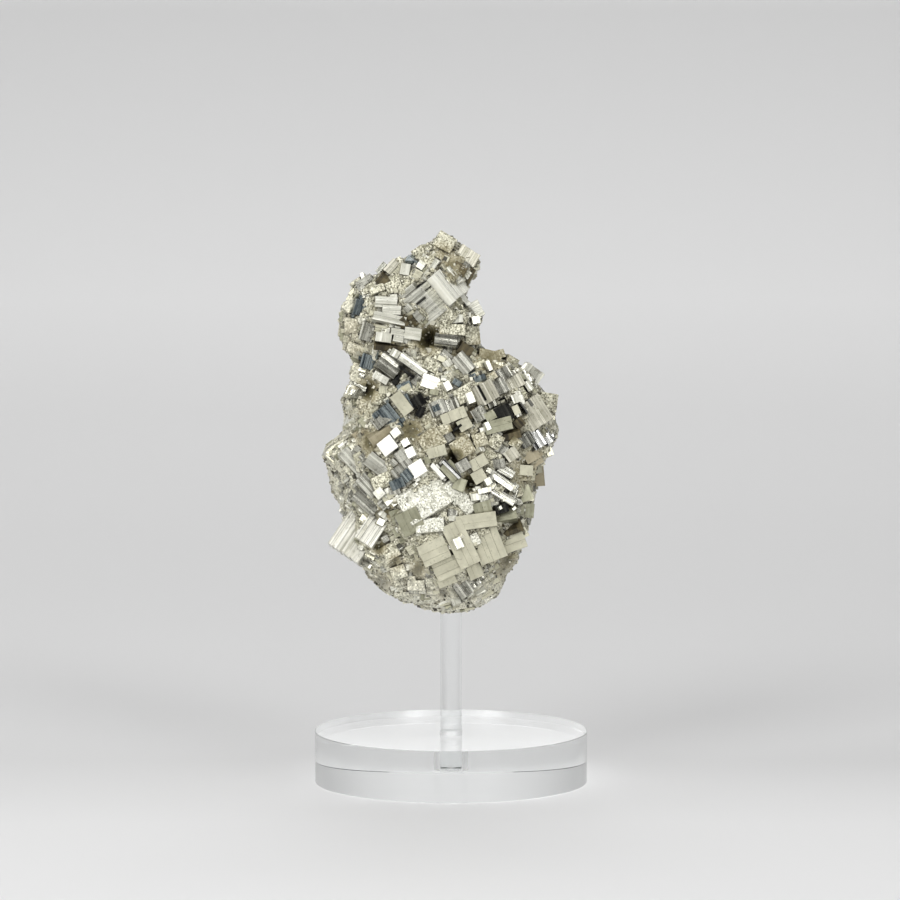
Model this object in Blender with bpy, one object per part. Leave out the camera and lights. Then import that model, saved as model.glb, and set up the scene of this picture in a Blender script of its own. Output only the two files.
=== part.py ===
"""Pyrite specimen on a clear acrylic display stand.

Three separate pieces: a cluster of cubic pyrite crystals grown together in one stone, an acrylic rod glued into
a hole drilled in the underside of the stone, and a thick acrylic disc with a blind hole for the rod's foot.
Metres, +Z up. The origin is the centre of the disc's underside, the front of the specimen looks along -Y.
"""

import math
import random

import bmesh
import bpy
from mathutils import Matrix, Vector, noise
from mathutils.bvhtree import BVHTree

MM = 0.001

# Acrylic stand: a disc cut from thick sheet and a stock rod
DISC_DIAMETER = 101.6 * MM
DISC_THICKNESS = 19.05 * MM
DISC_CHAMFER = 0.6 * MM
DISC_SIDES = 64
ROD_DIAMETER = 8.0 * MM
ROD_SIDES = 20
ROD_SOCKET_DEPTH = 12.0 * MM
GLUE_GAP = 0.3 * MM
STONE_BOTTOM = 64.0 * MM
STONE_SOCKET_DEPTH = 13.0 * MM

# The eye point that the rows of crystals below are seen from, far in front of the specimen
EYE = Vector((-0.4 * MM, -1847.0 * MM, 307.0 * MM))

# Heart of the stone: height, left, right, front and back of each level, in mm
LEVELS = (
    (64, -7, 6.5, -7, 7),
    (66.5, -13, 11.5, -12, 11),
    (69, -20.5, 14.5, -16, 15),
    (72, -26, 18, -19, 18),
    (77, -30, 20.5, -22, 21),
    (83, -35, 25, -24.5, 23.5),
    (89, -40.5, 26, -26, 25),
    (96, -39.5, 28.5, -27, 26),
    (103, -41, 29.5, -27.5, 27),
    (110, -44, 31.5, -27.5, 27),
    (117, -45.3, 33.3, -27, 27),
    (124, -47, 36, -26.5, 26.5),
    (130, -40.5, 39, -26, 26),
    (136, -39.3, 38.5, -25, 25.5),
    (142, -40, 37, -24, 24.5),
    (148, -37.8, 31.5, -22.5, 23),
    (153, -37, 29.5, -21, 21),
    (158, -36.2, 19.5, -19, 19.5),
    (162, -39.5, 11.5, -17.5, 18),
    (168, -41, 9.5, -16.5, 17),
    (174, -41, 11.5, -16, 16.5),
    (180, -38.5, 6, -15, 16),
    (185, -35, 5.5, -14, 15),
    (190, -25.5, 8.5, -12.5, 13),
    (195, -17, 9.5, -10.5, 11),
    (199, -11, 5, -8, 8.5),
    (202.5, -7, 1, -5, 5.5),
)
HEART_SIDES = 32
HEART_RINGS = 29
HEART_SQUARENESS = 2.4
HEART_SEED = 4
HEART_JITTER = 0.36
LUMP_SIZE = 15 * MM
LUMP_HEIGHT = 1.8 * MM
KNOB_SIZE = 6.5 * MM
KNOB_HEIGHT = 1.2 * MM

# Cavities between the crystals, as seen from the eye: across, up, radius, depth, in mm
PITS = (
    (-8.5, 166, 5, 7),
    (-31, 146.5, 5, 5),
    (1.5, 121.5, 4, 4),
    (-26, 74.5, 4, 4),
    (21, 83, 4, 4),
    (6.5, 111.5, 4, 5),
)

# Crystals on the front, each a square block seen from the eye against the plane y = 0.
# Across, up, width, height (mm), roll of its edges, swing of its face to the right, tilt of its face upwards
# (degrees), and how far it stands proud of the heart (mm).
FRONT_CRYSTALS = (
    # Head of the specimen
    (-3, 200, 11, 9, -33, 0, 15, 3),
    (-10.5, 198, 6, 5, 35, -20, 10, 2),
    (5.5, 196.3, 8, 5.5, -33, 10, 10, 3),
    (8.8, 194.8, 3.5, 4, -33, 35, 0, 2.5),
    (7.3, 190, 4, 7, -28, 40, 0, 2),
    (-14, 193.7, 5, 3.5, -5, -10, -20, 2),
    (-23.5, 190.5, 7, 7, -40, -15, 25, 3),
    (-19.5, 192.5, 5, 5, 30, 0, 10, 2),
    (-17, 191, 3.5, 4.5, -10, 0, 5, 2.5),
    (-31, 185.7, 7, 3, 33, -10, 30, 2.5),
    (-34, 186, 5, 4, 33, -20, 0, 2),
    (-27, 183, 6, 3, 20, 0, 20, 2.5),
    (-21, 184.5, 6, 4.5, 25, 0, 10, 2.5),
    (-37, 177, 4.5, 5.5, -40, -20, 10, 2),
    (-33.5, 177.5, 5.5, 6, -15, 10, -10, 2.5),
    (-24, 178.5, 8.5, 4, -3, 0, 10, 3),
    (-22, 175.5, 7, 3.4, -3, 0, 10, 3.5),
    (-23, 172, 12.5, 3.2, -12, 0, 15, 4.5),
    (-25, 165.7, 5.8, 3.6, -8, 0, 5, 4.5),
    (-14.2, 167, 6.6, 4.3, -8, 0, 5, 4.5),
    (-36.5, 170.6, 6, 5.5, -3, -15, 5, 2),
    (-31, 168, 5, 7, -15, 0, 0, 2.5),
    (-35, 162, 7, 4, -20, 0, -10, 2),
    (-11.3, 178.4, 10.5, 15, -50, 0, -32, 7),
    (-14.5, 182.5, 4.5, 9, -50, 0, -20, 4.5),
    (7, 176, 8, 7, 28, 15, 15, 3.5),
    (-2, 174.3, 7, 6.5, -40, 5, -5, 4),
    (2.5, 172.3, 4, 3, 5, 0, 10, 3.5),
    (-2, 163.7, 8.8, 4.6, -7, 0, 22, 3.5),
    (0.5, 168.7, 10, 4.2, -3, 0, 5, 3),
    (4.8, 161.6, 5.2, 4.6, -35, 10, 0, 3.5),
    (7, 166.5, 6, 7, 5, 20, 0, 2),
    # Shoulder and waist
    (-30, 157.5, 6.5, 6, -15, 0, -15, 2.5),
    (-23.3, 155.2, 9, 6.5, -37, 0, 10, 3.5),
    (-14.7, 155.3, 12, 3.4, -36, 0, 10, 3.5),
    (-26, 151, 6, 3, -30, 0, 0, 2.5),
    (-20.8, 150, 4, 3.4, 45, 10, -20, 2.5),
    (-33, 152, 7, 7, -25, -10, 0, 1.6),
    (-8, 155, 6.5, 4.4, -30, 10, 15, 3),
    (-8, 148.5, 8, 5, -20, 10, 15, 3.5),
    (-19.2, 141, 5, 9, 37, 0, 0, 4.5),
    (-22.5, 137.8, 5.5, 8.5, 37, -12, -8, 4),
    (-26.5, 137.7, 4, 4, 37, -12, -8, 3.5),
    (-25.3, 134.8, 7, 4, 37, 0, 5, 3),
    (-27, 142.8, 5, 5, -15, 0, 10, 3),
    (-12.5, 142.8, 5, 4.6, 32, 0, -10, 4.5),
    (-4.8, 139.8, 6, 5.5, 22, 0, 0, 4.5),
    (0.2, 141, 4.6, 5.4, 22, 5, -5, 4.5),
    (1, 136.9, 9.5, 4.2, 22, 0, 0, 5),
    (4.7, 144.7, 7, 6, 28, 0, 0, 4),
    (7, 138.3, 3.6, 3.2, 30, 0, -15, 4.5),
    (4.3, 154.5, 10, 7.5, -50, 5, 10, 3),
    (14.3, 159.2, 9, 6, -15, 10, 10, 2.5),
    (18, 160.3, 3.6, 3.6, 15, 10, 10, 2.5),
    (21.5, 156.8, 5, 4.4, -30, 20, 10, 2),
    (19.7, 152.2, 4.6, 4.6, 30, 5, 5, 4.5),
    (12.6, 145.3, 8.6, 8, 28, 0, 0, 4.5),
    (18, 147.2, 5.4, 6, 28, 5, 5, 4),
    (23.3, 148.8, 6.6, 5.2, 28, 10, 5, 3.5),
    (30, 152, 6, 5.6, -37, 20, 5, 2.5),
    (19.3, 139, 5, 5.6, 28, -5, -12, 5.5),
    (15.8, 137.2, 4.6, 3.6, 28, 0, 0, 5),
    (18.3, 133.6, 10, 5, 18, 0, 0, 5),
    (30.7, 138, 10, 11, 33, 15, 0, 4.5),
    (35.2, 141.8, 7, 7, -10, 20, 5, 2.5),
    (24.9, 134.7, 3.6, 3.8, 40, 0, -10, 4),
    (22.5, 130.9, 6.5, 3, 15, 0, -25, 3.5),
    (31, 127.8, 7, 6.5, 33, 10, -10, 3.5),
    (34.8, 129.3, 3.6, 6.4, 33, 15, 0, 3.5),
    (10.6, 137.4, 5.2, 5.6, 30, 0, 0, 4.5),
    # Belly
    (-22.2, 125.5, 6.2, 5.8, 38, -12, 12, 5.5),
    (-13.8, 122.8, 3.4, 3.8, 28, -12, 12, 5.5),
    (-11, 116.7, 5.8, 5.6, 32, -12, 12, 6),
    (-26.3, 129.8, 9, 4.6, 32, 0, -15, 4.5),
    (-7.2, 127.6, 9, 8, 35, 0, 0, 4.5),
    (-5.3, 123.4, 7, 4, 15, 0, 0, 5),
    (4.2, 125, 8, 7.4, 30, 0, 0, 4.5),
    (5.2, 133.4, 5, 4.4, 30, 0, 5, 4.5),
    (-2.2, 131.6, 5, 4, 25, 0, 5, 4.5),
    (10.6, 127.5, 5.4, 5.2, 20, 5, 5, 4),
    (16.4, 127.5, 5, 5.6, -30, 5, 0, 3.5),
    (-18, 122.3, 4.8, 4.4, 37, -5, 0, 4.5),
    (-16.3, 115.7, 8.6, 8.2, 37, -5, 0, 5),
    (-18.3, 113.7, 6, 5, 37, -8, -10, 6),
    (-36.8, 119.2, 11, 4.6, -48, -10, 10, 3.5),
    (-27.3, 118, 10, 5.6, -38, 0, 5, 3.5),
    (-31.2, 110.5, 9, 4.6, -48, 0, 5, 4.5),
    (-31.8, 104.4, 10.5, 5.4, -43, 0, 5, 5),
    (-25.3, 111.7, 8, 5.6, 25, 0, 10, 4.5),
    (-26.2, 107.3, 3.6, 3.6, 40, 0, 10, 5.5),
    (0.2, 116.2, 7.6, 5.2, -47, 0, 0, 5),
    (2.6, 110.6, 4.6, 5, -20, 5, 10, 5),
    (4.5, 118.2, 5, 4.4, 30, 0, 0, 5.5),
    (10.2, 119.4, 6.6, 4.4, 30, 0, 0, 5),
    (10.4, 114.2, 5, 4.8, 30, 0, 0, 4.5),
    (18.2, 112.2, 10.4, 3, -35, 5, 10, 5.5),
    (20, 115.8, 6.4, 3.2, -30, 5, 5, 5.5),
    (18, 118.6, 4.4, 3.4, 10, 0, 5, 5),
    (18.9, 106.6, 9.6, 3.4, -30, 5, 5, 5.5),
    (18.4, 103, 5.4, 3.6, 15, 0, -10, 5.5),
    (22.6, 122.4, 5, 4.6, 35, 5, 0, 4.5),
    (23.4, 127, 4.6, 4, -35, 10, 0, 4),
    (29, 121.8, 6, 5.4, 30, 15, 0, 3.5),
    (27.4, 116, 5, 4.4, 0, 12, 0, 4),
    (31.6, 114, 4, 7.4, 5, 30, 0, 2),
    (26.5, 109, 5.6, 6, 20, 15, 0, 3),
    (28, 103.6, 5, 6, -5, 30, 0, 3),
    # Base of the stone, with its large smooth crystals
    (-37, 95.1, 7.4, 16.4, -32, -8, 5, 5),
    (-29.9, 93.4, 7, 10.4, -32, -5, 8, 5.5),
    (-35.8, 86.3, 9, 8.6, -32, -8, 5, 4.5),
    (-9.6, 105.2, 19, 13, 31, 0, 8, 5),
    (2.3, 106.4, 15, 5.4, -48, 8, 10, 5.5),
    (-15, 98, 8.6, 9, 25, -5, -8, 6.5),
    (-7.8, 95.3, 11, 5.4, 5, 0, 8, 5.5),
    (-6.4, 86.2, 10.6, 8.2, 24, 0, -2, 8),
    (-1.2, 80.3, 10.8, 7, 24, 0, -2, 8),
    (-1.8, 75.8, 7, 4, 22, 0, -5, 7),
    (3.7, 88.8, 8, 17.4, 26, 0, 0, 7),
    (13.7, 88.6, 10.4, 12.4, 25, 2, 0, 7.5),
    (22.6, 90.6, 9, 8.8, 20, 4, 0, 6.5),
    (9.4, 97.3, 15, 5.4, 8, 0, 4, 6),
    (1.8, 88.5, 4, 3.8, 24, 10, 12, 7.5),
    (8.6, 79.5, 5.4, 6.4, 22, 0, -4, 6.5),
    (20.7, 98.4, 8.2, 4.8, 10, 0, 20, 6),
    (11.6, 103, 6.6, 5, 15, 0, -10, 5.5),
    (4, 72.8, 6, 6.4, 35, 0, -10, 5),
    (1.8, 67.8, 3.4, 3.6, 20, 0, 5, 3.5),
    (-13, 74, 6.6, 4, 0, 0, -10, 3),
    (-19, 78.5, 6, 5, 20, -10, 0, 3),
    (-22, 86.5, 6, 6, 30, -10, 0, 3),
)
ROOT_DEPTH = 4.5 * MM

# Crystals on the sides, back and underside, which the eye doesn't see: families that share their axes
HIDDEN_SEED = 11
HIDDEN_TRIES = 2500
FAMILY_COUNT = 58
FAMILY_SPACING = 10.5 * MM
FAMILY_SPREAD = 8.0 * MM
FAMILY_SIZES = (8.0, 16.0)
FAMILY_MEMBERS = (2, 3)
OUTLINE_PLAY = 1.2 * MM
HIDDEN_SINKS = (0.2, 0.3, 0.4)
FRONT_LIMIT = -4 * MM


def material(name, colour, roughness, metallic=0.0, transmission=0.0, ior=1.5):
    made = bpy.data.materials.new(name)
    made.use_nodes = True
    shader = made.node_tree.nodes["Principled BSDF"]
    shader.inputs["Base Color"].default_value = (*colour, 1.0)
    shader.inputs["Roughness"].default_value = roughness
    shader.inputs["Metallic"].default_value = metallic
    shader.inputs["Transmission Weight"].default_value = transmission
    shader.inputs["IOR"].default_value = ior
    return made


def new_object(name, mesh_builder, surface):
    """A linked object whose mesh is what the bmesh holds."""
    mesh = bpy.data.meshes.new(name)
    mesh_builder.to_mesh(mesh)
    mesh_builder.free()
    obj = bpy.data.objects.new(name, mesh)
    obj.data.materials.append(surface)
    bpy.context.scene.collection.objects.link(obj)
    return obj


def between_levels(height):
    """Left, right, front and back of the heart at a height, by a smooth curve through the levels."""
    rows = [[value * MM for value in level] for level in LEVELS]
    index = max(i for i, row in enumerate(rows[:-1]) if height >= row[0] or i == 0)
    before = rows[max(index - 1, 0)]
    low, high = rows[index], rows[index + 1]
    after = rows[min(index + 2, len(rows) - 1)]
    share = min(max((height - low[0]) / (high[0] - low[0]), 0), 1)
    result = []
    for side in range(1, 5):
        p0, p1, p2, p3 = before[side], low[side], high[side], after[side]
        bend = 2 * p0 - 5 * p1 + 4 * p2 - p3
        twist = 3 * (p1 - p2) + p3 - p0
        result.append(p1 + 0.5 * share * (p2 - p0 + share * (bend + share * twist)))
    return result


def heart_point(turn, height):
    """A point on the lumpy heart."""
    left, right, front, back = between_levels(height)
    across, deep = math.cos(turn), math.sin(turn)
    power = 2 / HEART_SQUARENESS
    spread = Vector((
        math.copysign(abs(across) ** power, across) * (right - left) / 2,
        math.copysign(abs(deep) ** power, deep) * (back - front) / 2,
        0,
    ))
    place = Vector(((left + right) / 2, (front + back) / 2, height)) + spread
    lump = noise.noise(place / LUMP_SIZE) * LUMP_HEIGHT
    nearest, second = noise.voronoi(place / KNOB_SIZE)[0][:2]
    knob = (second - nearest - 0.35) * KNOB_HEIGHT
    return place + spread.normalized() * (lump + knob)


def pit_push(place):
    """How a point near a cavity moves, away from the eye."""
    sight = (place - EYE).normalized()
    push = Vector((0, 0, 0))
    for across, up, radius, depth in PITS:
        middle = (Vector((across, 0, up)) * MM - EYE).normalized()
        aside = (place - EYE).cross(middle).length / (radius * MM)
        if aside < 1 and place.y < 0:
            push += sight * depth * MM * (1 - aside * aside) ** 2
    return push


def heart_rings(mesh):
    """Rings of vertices up the heart, each vertex shifted a little so that no course of facets shows."""
    bottom, top = LEVELS[0][0] * MM, LEVELS[-1][0] * MM
    chance = random.Random(HEART_SEED)
    rings = []
    for ring in range(HEART_RINGS + 1):
        play = HEART_JITTER if 0 < ring < HEART_RINGS else 0
        loop = []
        for side in range(HEART_SIDES):
            share = (ring + chance.uniform(-play, play)) / HEART_RINGS
            step = side + 0.5 * (ring % 2) + chance.uniform(-play, play)
            place = heart_point(2 * math.pi * step / HEART_SIDES, bottom + (top - bottom) * share)
            loop.append(mesh.verts.new(place + pit_push(place)))
        rings.append(loop)
    return rings


def build_heart():
    """The closed body that every crystal grows from."""
    mesh = bmesh.new()
    rings = heart_rings(mesh)
    for number, (lower, upper) in enumerate(zip(rings, rings[1:])):
        for side in range(HEART_SIDES):
            after = (side + 1) % HEART_SIDES
            a, b, c, d = lower[side], lower[after], upper[after], upper[side]
            halves = ((a, b, c), (a, c, d)) if number % 2 else ((a, b, d), (b, c, d))
            for half in halves:
                mesh.faces.new(half)
    for loop, rise in ((rings[0], -0.5 * MM), (rings[-1], 1.5 * MM)):
        middle = sum((v.co for v in loop), Vector()) / len(loop)
        pole = mesh.verts.new(middle + Vector((0, 0, rise)))
        for side in range(HEART_SIDES):
            mesh.faces.new((loop[side], loop[(side + 1) % HEART_SIDES], pole))
    bmesh.ops.recalc_face_normals(mesh, faces=mesh.faces)
    return mesh


def facing(toward, roll, swing, tilt):
    """Axes of a block whose face looks towards the eye, then turned by its three angles."""
    right = Vector((0, 0, 1)).cross(toward).normalized()
    up = toward.cross(right)
    view = Matrix((right, up, toward)).transposed()
    rolled = Matrix.Rotation(math.radians(roll), 3, "Z")
    swung = Matrix.Rotation(math.radians(swing), 3, "Y")
    tilted = Matrix.Rotation(math.radians(-tilt), 3, "X")
    return view @ rolled @ swung @ tilted


def add_block(mesh, centre, axes, size):
    """A square block in a bmesh."""
    place = Matrix.Translation(centre) @ axes.to_4x4() @ Matrix.Diagonal((*size, 1))
    bmesh.ops.create_cube(mesh, size=1, matrix=place)


def front_block(surface, row):
    """Centre, axes and size of a crystal on the front, from its row."""
    across, up, width, height, roll, swing, tilt, proud = row
    target = Vector((across, 0, up)) * MM
    sight = (target - EYE).normalized()
    hit = surface.ray_cast(EYE, sight)[0]
    if hit is None:
        near = surface.find_nearest(target)[0]
        hit = EYE + sight * (near - EYE).dot(sight)
    axes = facing(-sight, roll, swing, tilt)
    size = Vector((width * MM, height * MM, proud * MM + ROOT_DEPTH))
    reach = sum(abs(axes.col[i].dot(sight)) * size[i] / 2 for i in range(3))
    return hit - sight * (proud * MM - reach), axes, size


def inside_outline(centre, axes, size):
    """Whether no corner of a block sticks out past the outline of the levels."""
    bottom, top = LEVELS[0][0] * MM, LEVELS[-1][0] * MM
    for across in (-0.5, 0.5):
        for along in (-0.5, 0.5):
            for deep in (-0.5, 0.5):
                corner = centre + axes @ Vector((across * size.x, along * size.y, deep * size.z))
                left, right = between_levels(corner.z)[:2]
                if not left - OUTLINE_PLAY < corner.x < right + OUTLINE_PLAY:
                    return False
                if not bottom < corner.z < top:
                    return False
    return True


def hidden_blocks(heart, surface):
    """Seeded families of crystals over the faces of the heart that the eye doesn't see."""
    chance = random.Random(HIDDEN_SEED)
    faces = [f for f in heart.faces if f.calc_center_median().y > FRONT_LIMIT]
    weights = [f.calc_area() for f in faces]
    anchors = []
    blocks = []
    for _ in range(HIDDEN_TRIES):
        if len(anchors) == FAMILY_COUNT:
            break
        face = chance.choices(faces, weights)[0]
        anchor = face.calc_center_median()
        if any((anchor - other).length < FAMILY_SPACING for other in anchors):
            continue
        anchors.append(anchor)
        axes = facing(face.normal, chance.uniform(-45, 45), chance.uniform(-20, 20), chance.uniform(-20, 20))
        for member in range(chance.randint(*FAMILY_MEMBERS)):
            reach = FAMILY_SPREAD * min(member, 1)
            turn = chance.uniform(0, 2 * math.pi)
            aside = anchor + axes @ Vector((math.cos(turn), math.sin(turn), 0)) * reach
            near, normal = surface.find_nearest(aside)[:2]
            span = chance.uniform(*FAMILY_SIZES) * (0.75 if member else 1) * MM
            size = Vector((span, span * chance.uniform(0.6, 1.0), span * chance.uniform(0.6, 0.9)))
            for sunk in HIDDEN_SINKS:
                centre = near - normal * size.z * sunk
                if inside_outline(centre, axes, size):
                    blocks.append((centre, axes, size))
                    break
    return blocks


def apply_modifiers(target):
    """Turns the target's modifiers into its own mesh."""
    bpy.context.view_layer.update()
    evaluated = target.evaluated_get(bpy.context.evaluated_depsgraph_get())
    target.data = bpy.data.meshes.new_from_object(evaluated)
    target.modifiers.clear()


def close_hidden_voids(target):
    """Keeps only the largest shell, so that a void sealed between crystals becomes solid."""
    mesh = bmesh.new()
    mesh.from_mesh(target.data)
    bmesh.ops.remove_doubles(mesh, verts=mesh.verts, dist=0.001 * MM)
    waiting = set(mesh.faces)
    shells = []
    while waiting:
        shell = {waiting.pop()}
        edge_of_shell = list(shell)
        while edge_of_shell:
            face = edge_of_shell.pop()
            near = {other for edge in face.edges for other in edge.link_faces} - shell
            shell |= near
            waiting -= near
            edge_of_shell += near
        shells.append(shell)
    shells.sort(key=len)
    inner = [face for shell in shells[:-1] for face in shell]
    bmesh.ops.delete(mesh, geom=inner, context="FACES")
    mesh.to_mesh(target.data)
    mesh.free()


def union(target, blocks):
    """Grows the blocks onto the target as one solid."""
    helpers = bpy.data.collections.new("grown_blocks")
    bpy.context.scene.collection.children.link(helpers)
    for centre, axes, size in blocks:
        mesh = bmesh.new()
        add_block(mesh, centre, axes, size)
        block_mesh = bpy.data.meshes.new("block")
        mesh.to_mesh(block_mesh)
        mesh.free()
        block = bpy.data.objects.new("block", block_mesh)
        block.hide_render = True
        block.display_type = "WIRE"
        helpers.objects.link(block)
    join = target.modifiers.new("grow", "BOOLEAN")
    join.operation = "UNION"
    join.operand_type = "COLLECTION"
    join.collection = helpers
    helpers.hide_render = True


def cylinder(name, surface, radius, bottom, top, sides, chamfer=0.0):
    """A turned bar round the Z axis, with chamfered ends."""
    outline = [
        (0, bottom),
        (radius - chamfer, bottom),
        (radius, bottom + chamfer),
        (radius, top - chamfer),
        (radius - chamfer, top),
        (0, top),
    ]
    mesh = bmesh.new()
    corners = [mesh.verts.new((x, 0, z)) for x, z in outline]
    edges = [mesh.edges.new(pair) for pair in zip(corners, corners[1:])]
    bmesh.ops.spin(
        mesh, geom=edges + corners, axis=(0, 0, 1), cent=(0, 0, 0), steps=sides, angle=2 * math.pi,
    )
    bmesh.ops.remove_doubles(mesh, verts=mesh.verts, dist=0.01 * MM)
    bmesh.ops.recalc_face_normals(mesh, faces=mesh.faces)
    return new_object(name, mesh, surface)


def drill(target, radius, bottom, top, sides):
    """A round hole along the Z axis."""
    bit = cylinder("drill_bit", target.data.materials[0], radius, bottom, top, sides)
    bit.hide_render = True
    bit.display_type = "WIRE"
    cut = target.modifiers.new("hole", "BOOLEAN")
    cut.operation = "DIFFERENCE"
    cut.object = bit


def build_stone():
    pyrite = material("pyrite", (0.62, 0.56, 0.43), 0.28, metallic=1.0)
    heart = build_heart()
    surface = BVHTree.FromBMesh(heart)
    blocks = [front_block(surface, row) for row in FRONT_CRYSTALS]
    blocks += hidden_blocks(heart, surface)
    stone = new_object("pyrite_cluster", heart, pyrite)
    union(stone, blocks)
    apply_modifiers(stone)
    close_hidden_voids(stone)
    drill(
        stone,
        ROD_DIAMETER / 2 + GLUE_GAP,
        STONE_BOTTOM - 20 * MM,
        STONE_BOTTOM + STONE_SOCKET_DEPTH + GLUE_GAP,
        ROD_SIDES,
    )


def build_stand():
    acrylic = material("clear_acrylic", (1, 1, 1), 0.02, transmission=1.0, ior=1.49)
    foot = DISC_THICKNESS - ROD_SOCKET_DEPTH
    cylinder("acrylic_rod", acrylic, ROD_DIAMETER / 2, foot, STONE_BOTTOM + STONE_SOCKET_DEPTH, ROD_SIDES)
    disc = cylinder("acrylic_base", acrylic, DISC_DIAMETER / 2, 0, DISC_THICKNESS, DISC_SIDES, DISC_CHAMFER)
    drill(disc, ROD_DIAMETER / 2 + GLUE_GAP, foot - GLUE_GAP, DISC_THICKNESS + 5 * MM, ROD_SIDES)


def main():
    for obj in list(bpy.data.objects):
        bpy.data.objects.remove(obj)
    build_stone()
    build_stand()


main()
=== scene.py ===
"""Looks of the pyrite specimen: intergrown crystals with growth lines, their granular crust, and the clear
acrylic rod and disc that carry them. Metres, +Z up, the front of the specimen looks along -Y."""

import math
import random

import bmesh
import bpy
from mathutils import Euler, Matrix, Vector, noise
from mathutils.bvhtree import BVHTree
from mathutils.kdtree import KDTree


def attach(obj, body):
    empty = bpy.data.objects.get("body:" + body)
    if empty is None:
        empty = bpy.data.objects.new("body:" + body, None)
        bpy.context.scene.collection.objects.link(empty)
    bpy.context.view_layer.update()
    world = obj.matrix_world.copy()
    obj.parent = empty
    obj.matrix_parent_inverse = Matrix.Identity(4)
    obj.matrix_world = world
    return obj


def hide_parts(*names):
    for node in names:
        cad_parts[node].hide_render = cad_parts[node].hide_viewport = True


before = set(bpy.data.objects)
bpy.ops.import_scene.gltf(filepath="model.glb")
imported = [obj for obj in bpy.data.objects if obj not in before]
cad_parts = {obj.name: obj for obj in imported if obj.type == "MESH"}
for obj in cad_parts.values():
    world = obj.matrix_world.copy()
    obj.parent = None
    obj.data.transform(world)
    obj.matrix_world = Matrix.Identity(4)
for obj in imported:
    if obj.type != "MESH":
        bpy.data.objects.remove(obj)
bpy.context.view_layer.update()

MM = 0.001

# Acrylic stand
DISC_RADIUS = 50.8 * MM
DISC_THICKNESS = 19.05 * MM
DISC_EDGE = 0.12 * MM
ROD_RADIUS = 4.0 * MM
ROD_EDGE = 0.25 * MM
ROD_FOOT = 7.05 * MM
ROD_TOP = 77.0 * MM
SOCKET_RADIUS = 4.3 * MM
SOCKET_FLOOR = 6.75 * MM
TURNED_SIDES = 160

# Ochre iron film, and painted shade that darkens the crust to black-brown in the cavities: across, up and
# radius in mm as seen from the eye, and how dark it is
FILM_AND_HOLLOW_SHADE = (
    (0, 193, 6, 0.5),
    (-3, 197.5, 4, 0.35),
    (24.5, 134.5, 3, 0.8),
    (22.5, 130, 3.5, 0.9),
    (14, 158.5, 8, 0.5),
    (3, 161, 4, 0.5),
    (-8.5, 165, 5, 1.0),
    (-31, 146.5, 4.5, 0.9),
    (1.5, 121.5, 4, 1.0),
    (7, 112, 3.5, 1.0),
    (-26, 74.5, 4, 0.8),
    (21, 83, 3.5, 0.7),
    (-15, 131, 5, 0.8),
    (2, 131.5, 3, 1.0),
    (-24, 101, 3.5, 0.6),
    (-27, 88, 3, 0.8),
    (-12, 79.5, 3.5, 0.7),
    (-22, 163, 7, 0.35),
    (-30, 127, 5, 0.7),
    (10, 139, 3, 0.7),
    (-20, 82, 3, 0.6),
    (28, 116, 9, 0.28),
    (5, 126, 9, 0.25),
    (-34, 139, 5, 0.2),
    (-7, 129, 7, 0.25),
    (19, 79, 4, 0.55),
    (-3, 71, 2.5, 0.9),
    (-39, 169, 6, 0.3),
    (-36, 160, 5, 0.25),
)

# Height in metres that the bowl's shades of grey spread over
BOWL_SHADES = 1.1

# The eye point that the rows of crystals are seen from
EYE = Vector((-0.4 * MM, -1847.0 * MM, 307.0 * MM))

# Heart of the stone: height, left, right, front and back of each level, in mm
LEVELS = (
    (64, -7, 6.5, -7, 7),
    (66.5, -13, 11.5, -12, 11),
    (69, -20.5, 14.5, -16, 15),
    (72, -26, 18, -19, 18),
    (77, -30, 20.5, -22, 21),
    (83, -35, 25, -24.5, 23.5),
    (89, -40.5, 26, -26, 25),
    (96, -39.5, 28.5, -27, 26),
    (103, -41, 29.5, -27.5, 27),
    (110, -44, 31.5, -27.5, 27),
    (117, -45.3, 33.3, -27, 27),
    (124, -47, 36, -26.5, 26.5),
    (130, -40.5, 39, -26, 26),
    (136, -39.3, 38.5, -25, 25.5),
    (142, -40, 37, -24, 24.5),
    (148, -37.8, 31.5, -22.5, 23),
    (153, -37, 29.5, -21, 21),
    (158, -36.2, 19.5, -19, 19.5),
    (162, -39.5, 11.5, -17.5, 18),
    (168, -41, 9.5, -16.5, 17),
    (174, -41, 11.5, -16, 16.5),
    (180, -38.5, 6, -15, 16),
    (185, -35, 5.5, -14, 15),
    (190, -25.5, 8.5, -12.5, 13),
    (195, -17, 9.5, -10.5, 11),
    (199, -11, 5, -8, 8.5),
    (202.5, -7, 1, -5, 5.5),
)
HEART_SIDES = 32
HEART_RINGS = 29
HEART_SQUARENESS = 2.4
HEART_SEED = 4
HEART_JITTER = 0.36
LUMP_SIZE = 15 * MM
LUMP_HEIGHT = 1.8 * MM
KNOB_SIZE = 6.5 * MM
KNOB_HEIGHT = 1.2 * MM

# Cavities between the crystals, as seen from the eye: across, up, radius, depth, in mm
PITS = (
    (-8.5, 166, 5, 7),
    (-31, 146.5, 5, 5),
    (1.5, 121.5, 4, 4),
    (-26, 74.5, 4, 4),
    (21, 83, 4, 4),
    (6.5, 111.5, 4, 5),
    (-3, 71, 2.5, 2.5),
    (-21, 78.5, 2.5, 2.5),
)

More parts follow.
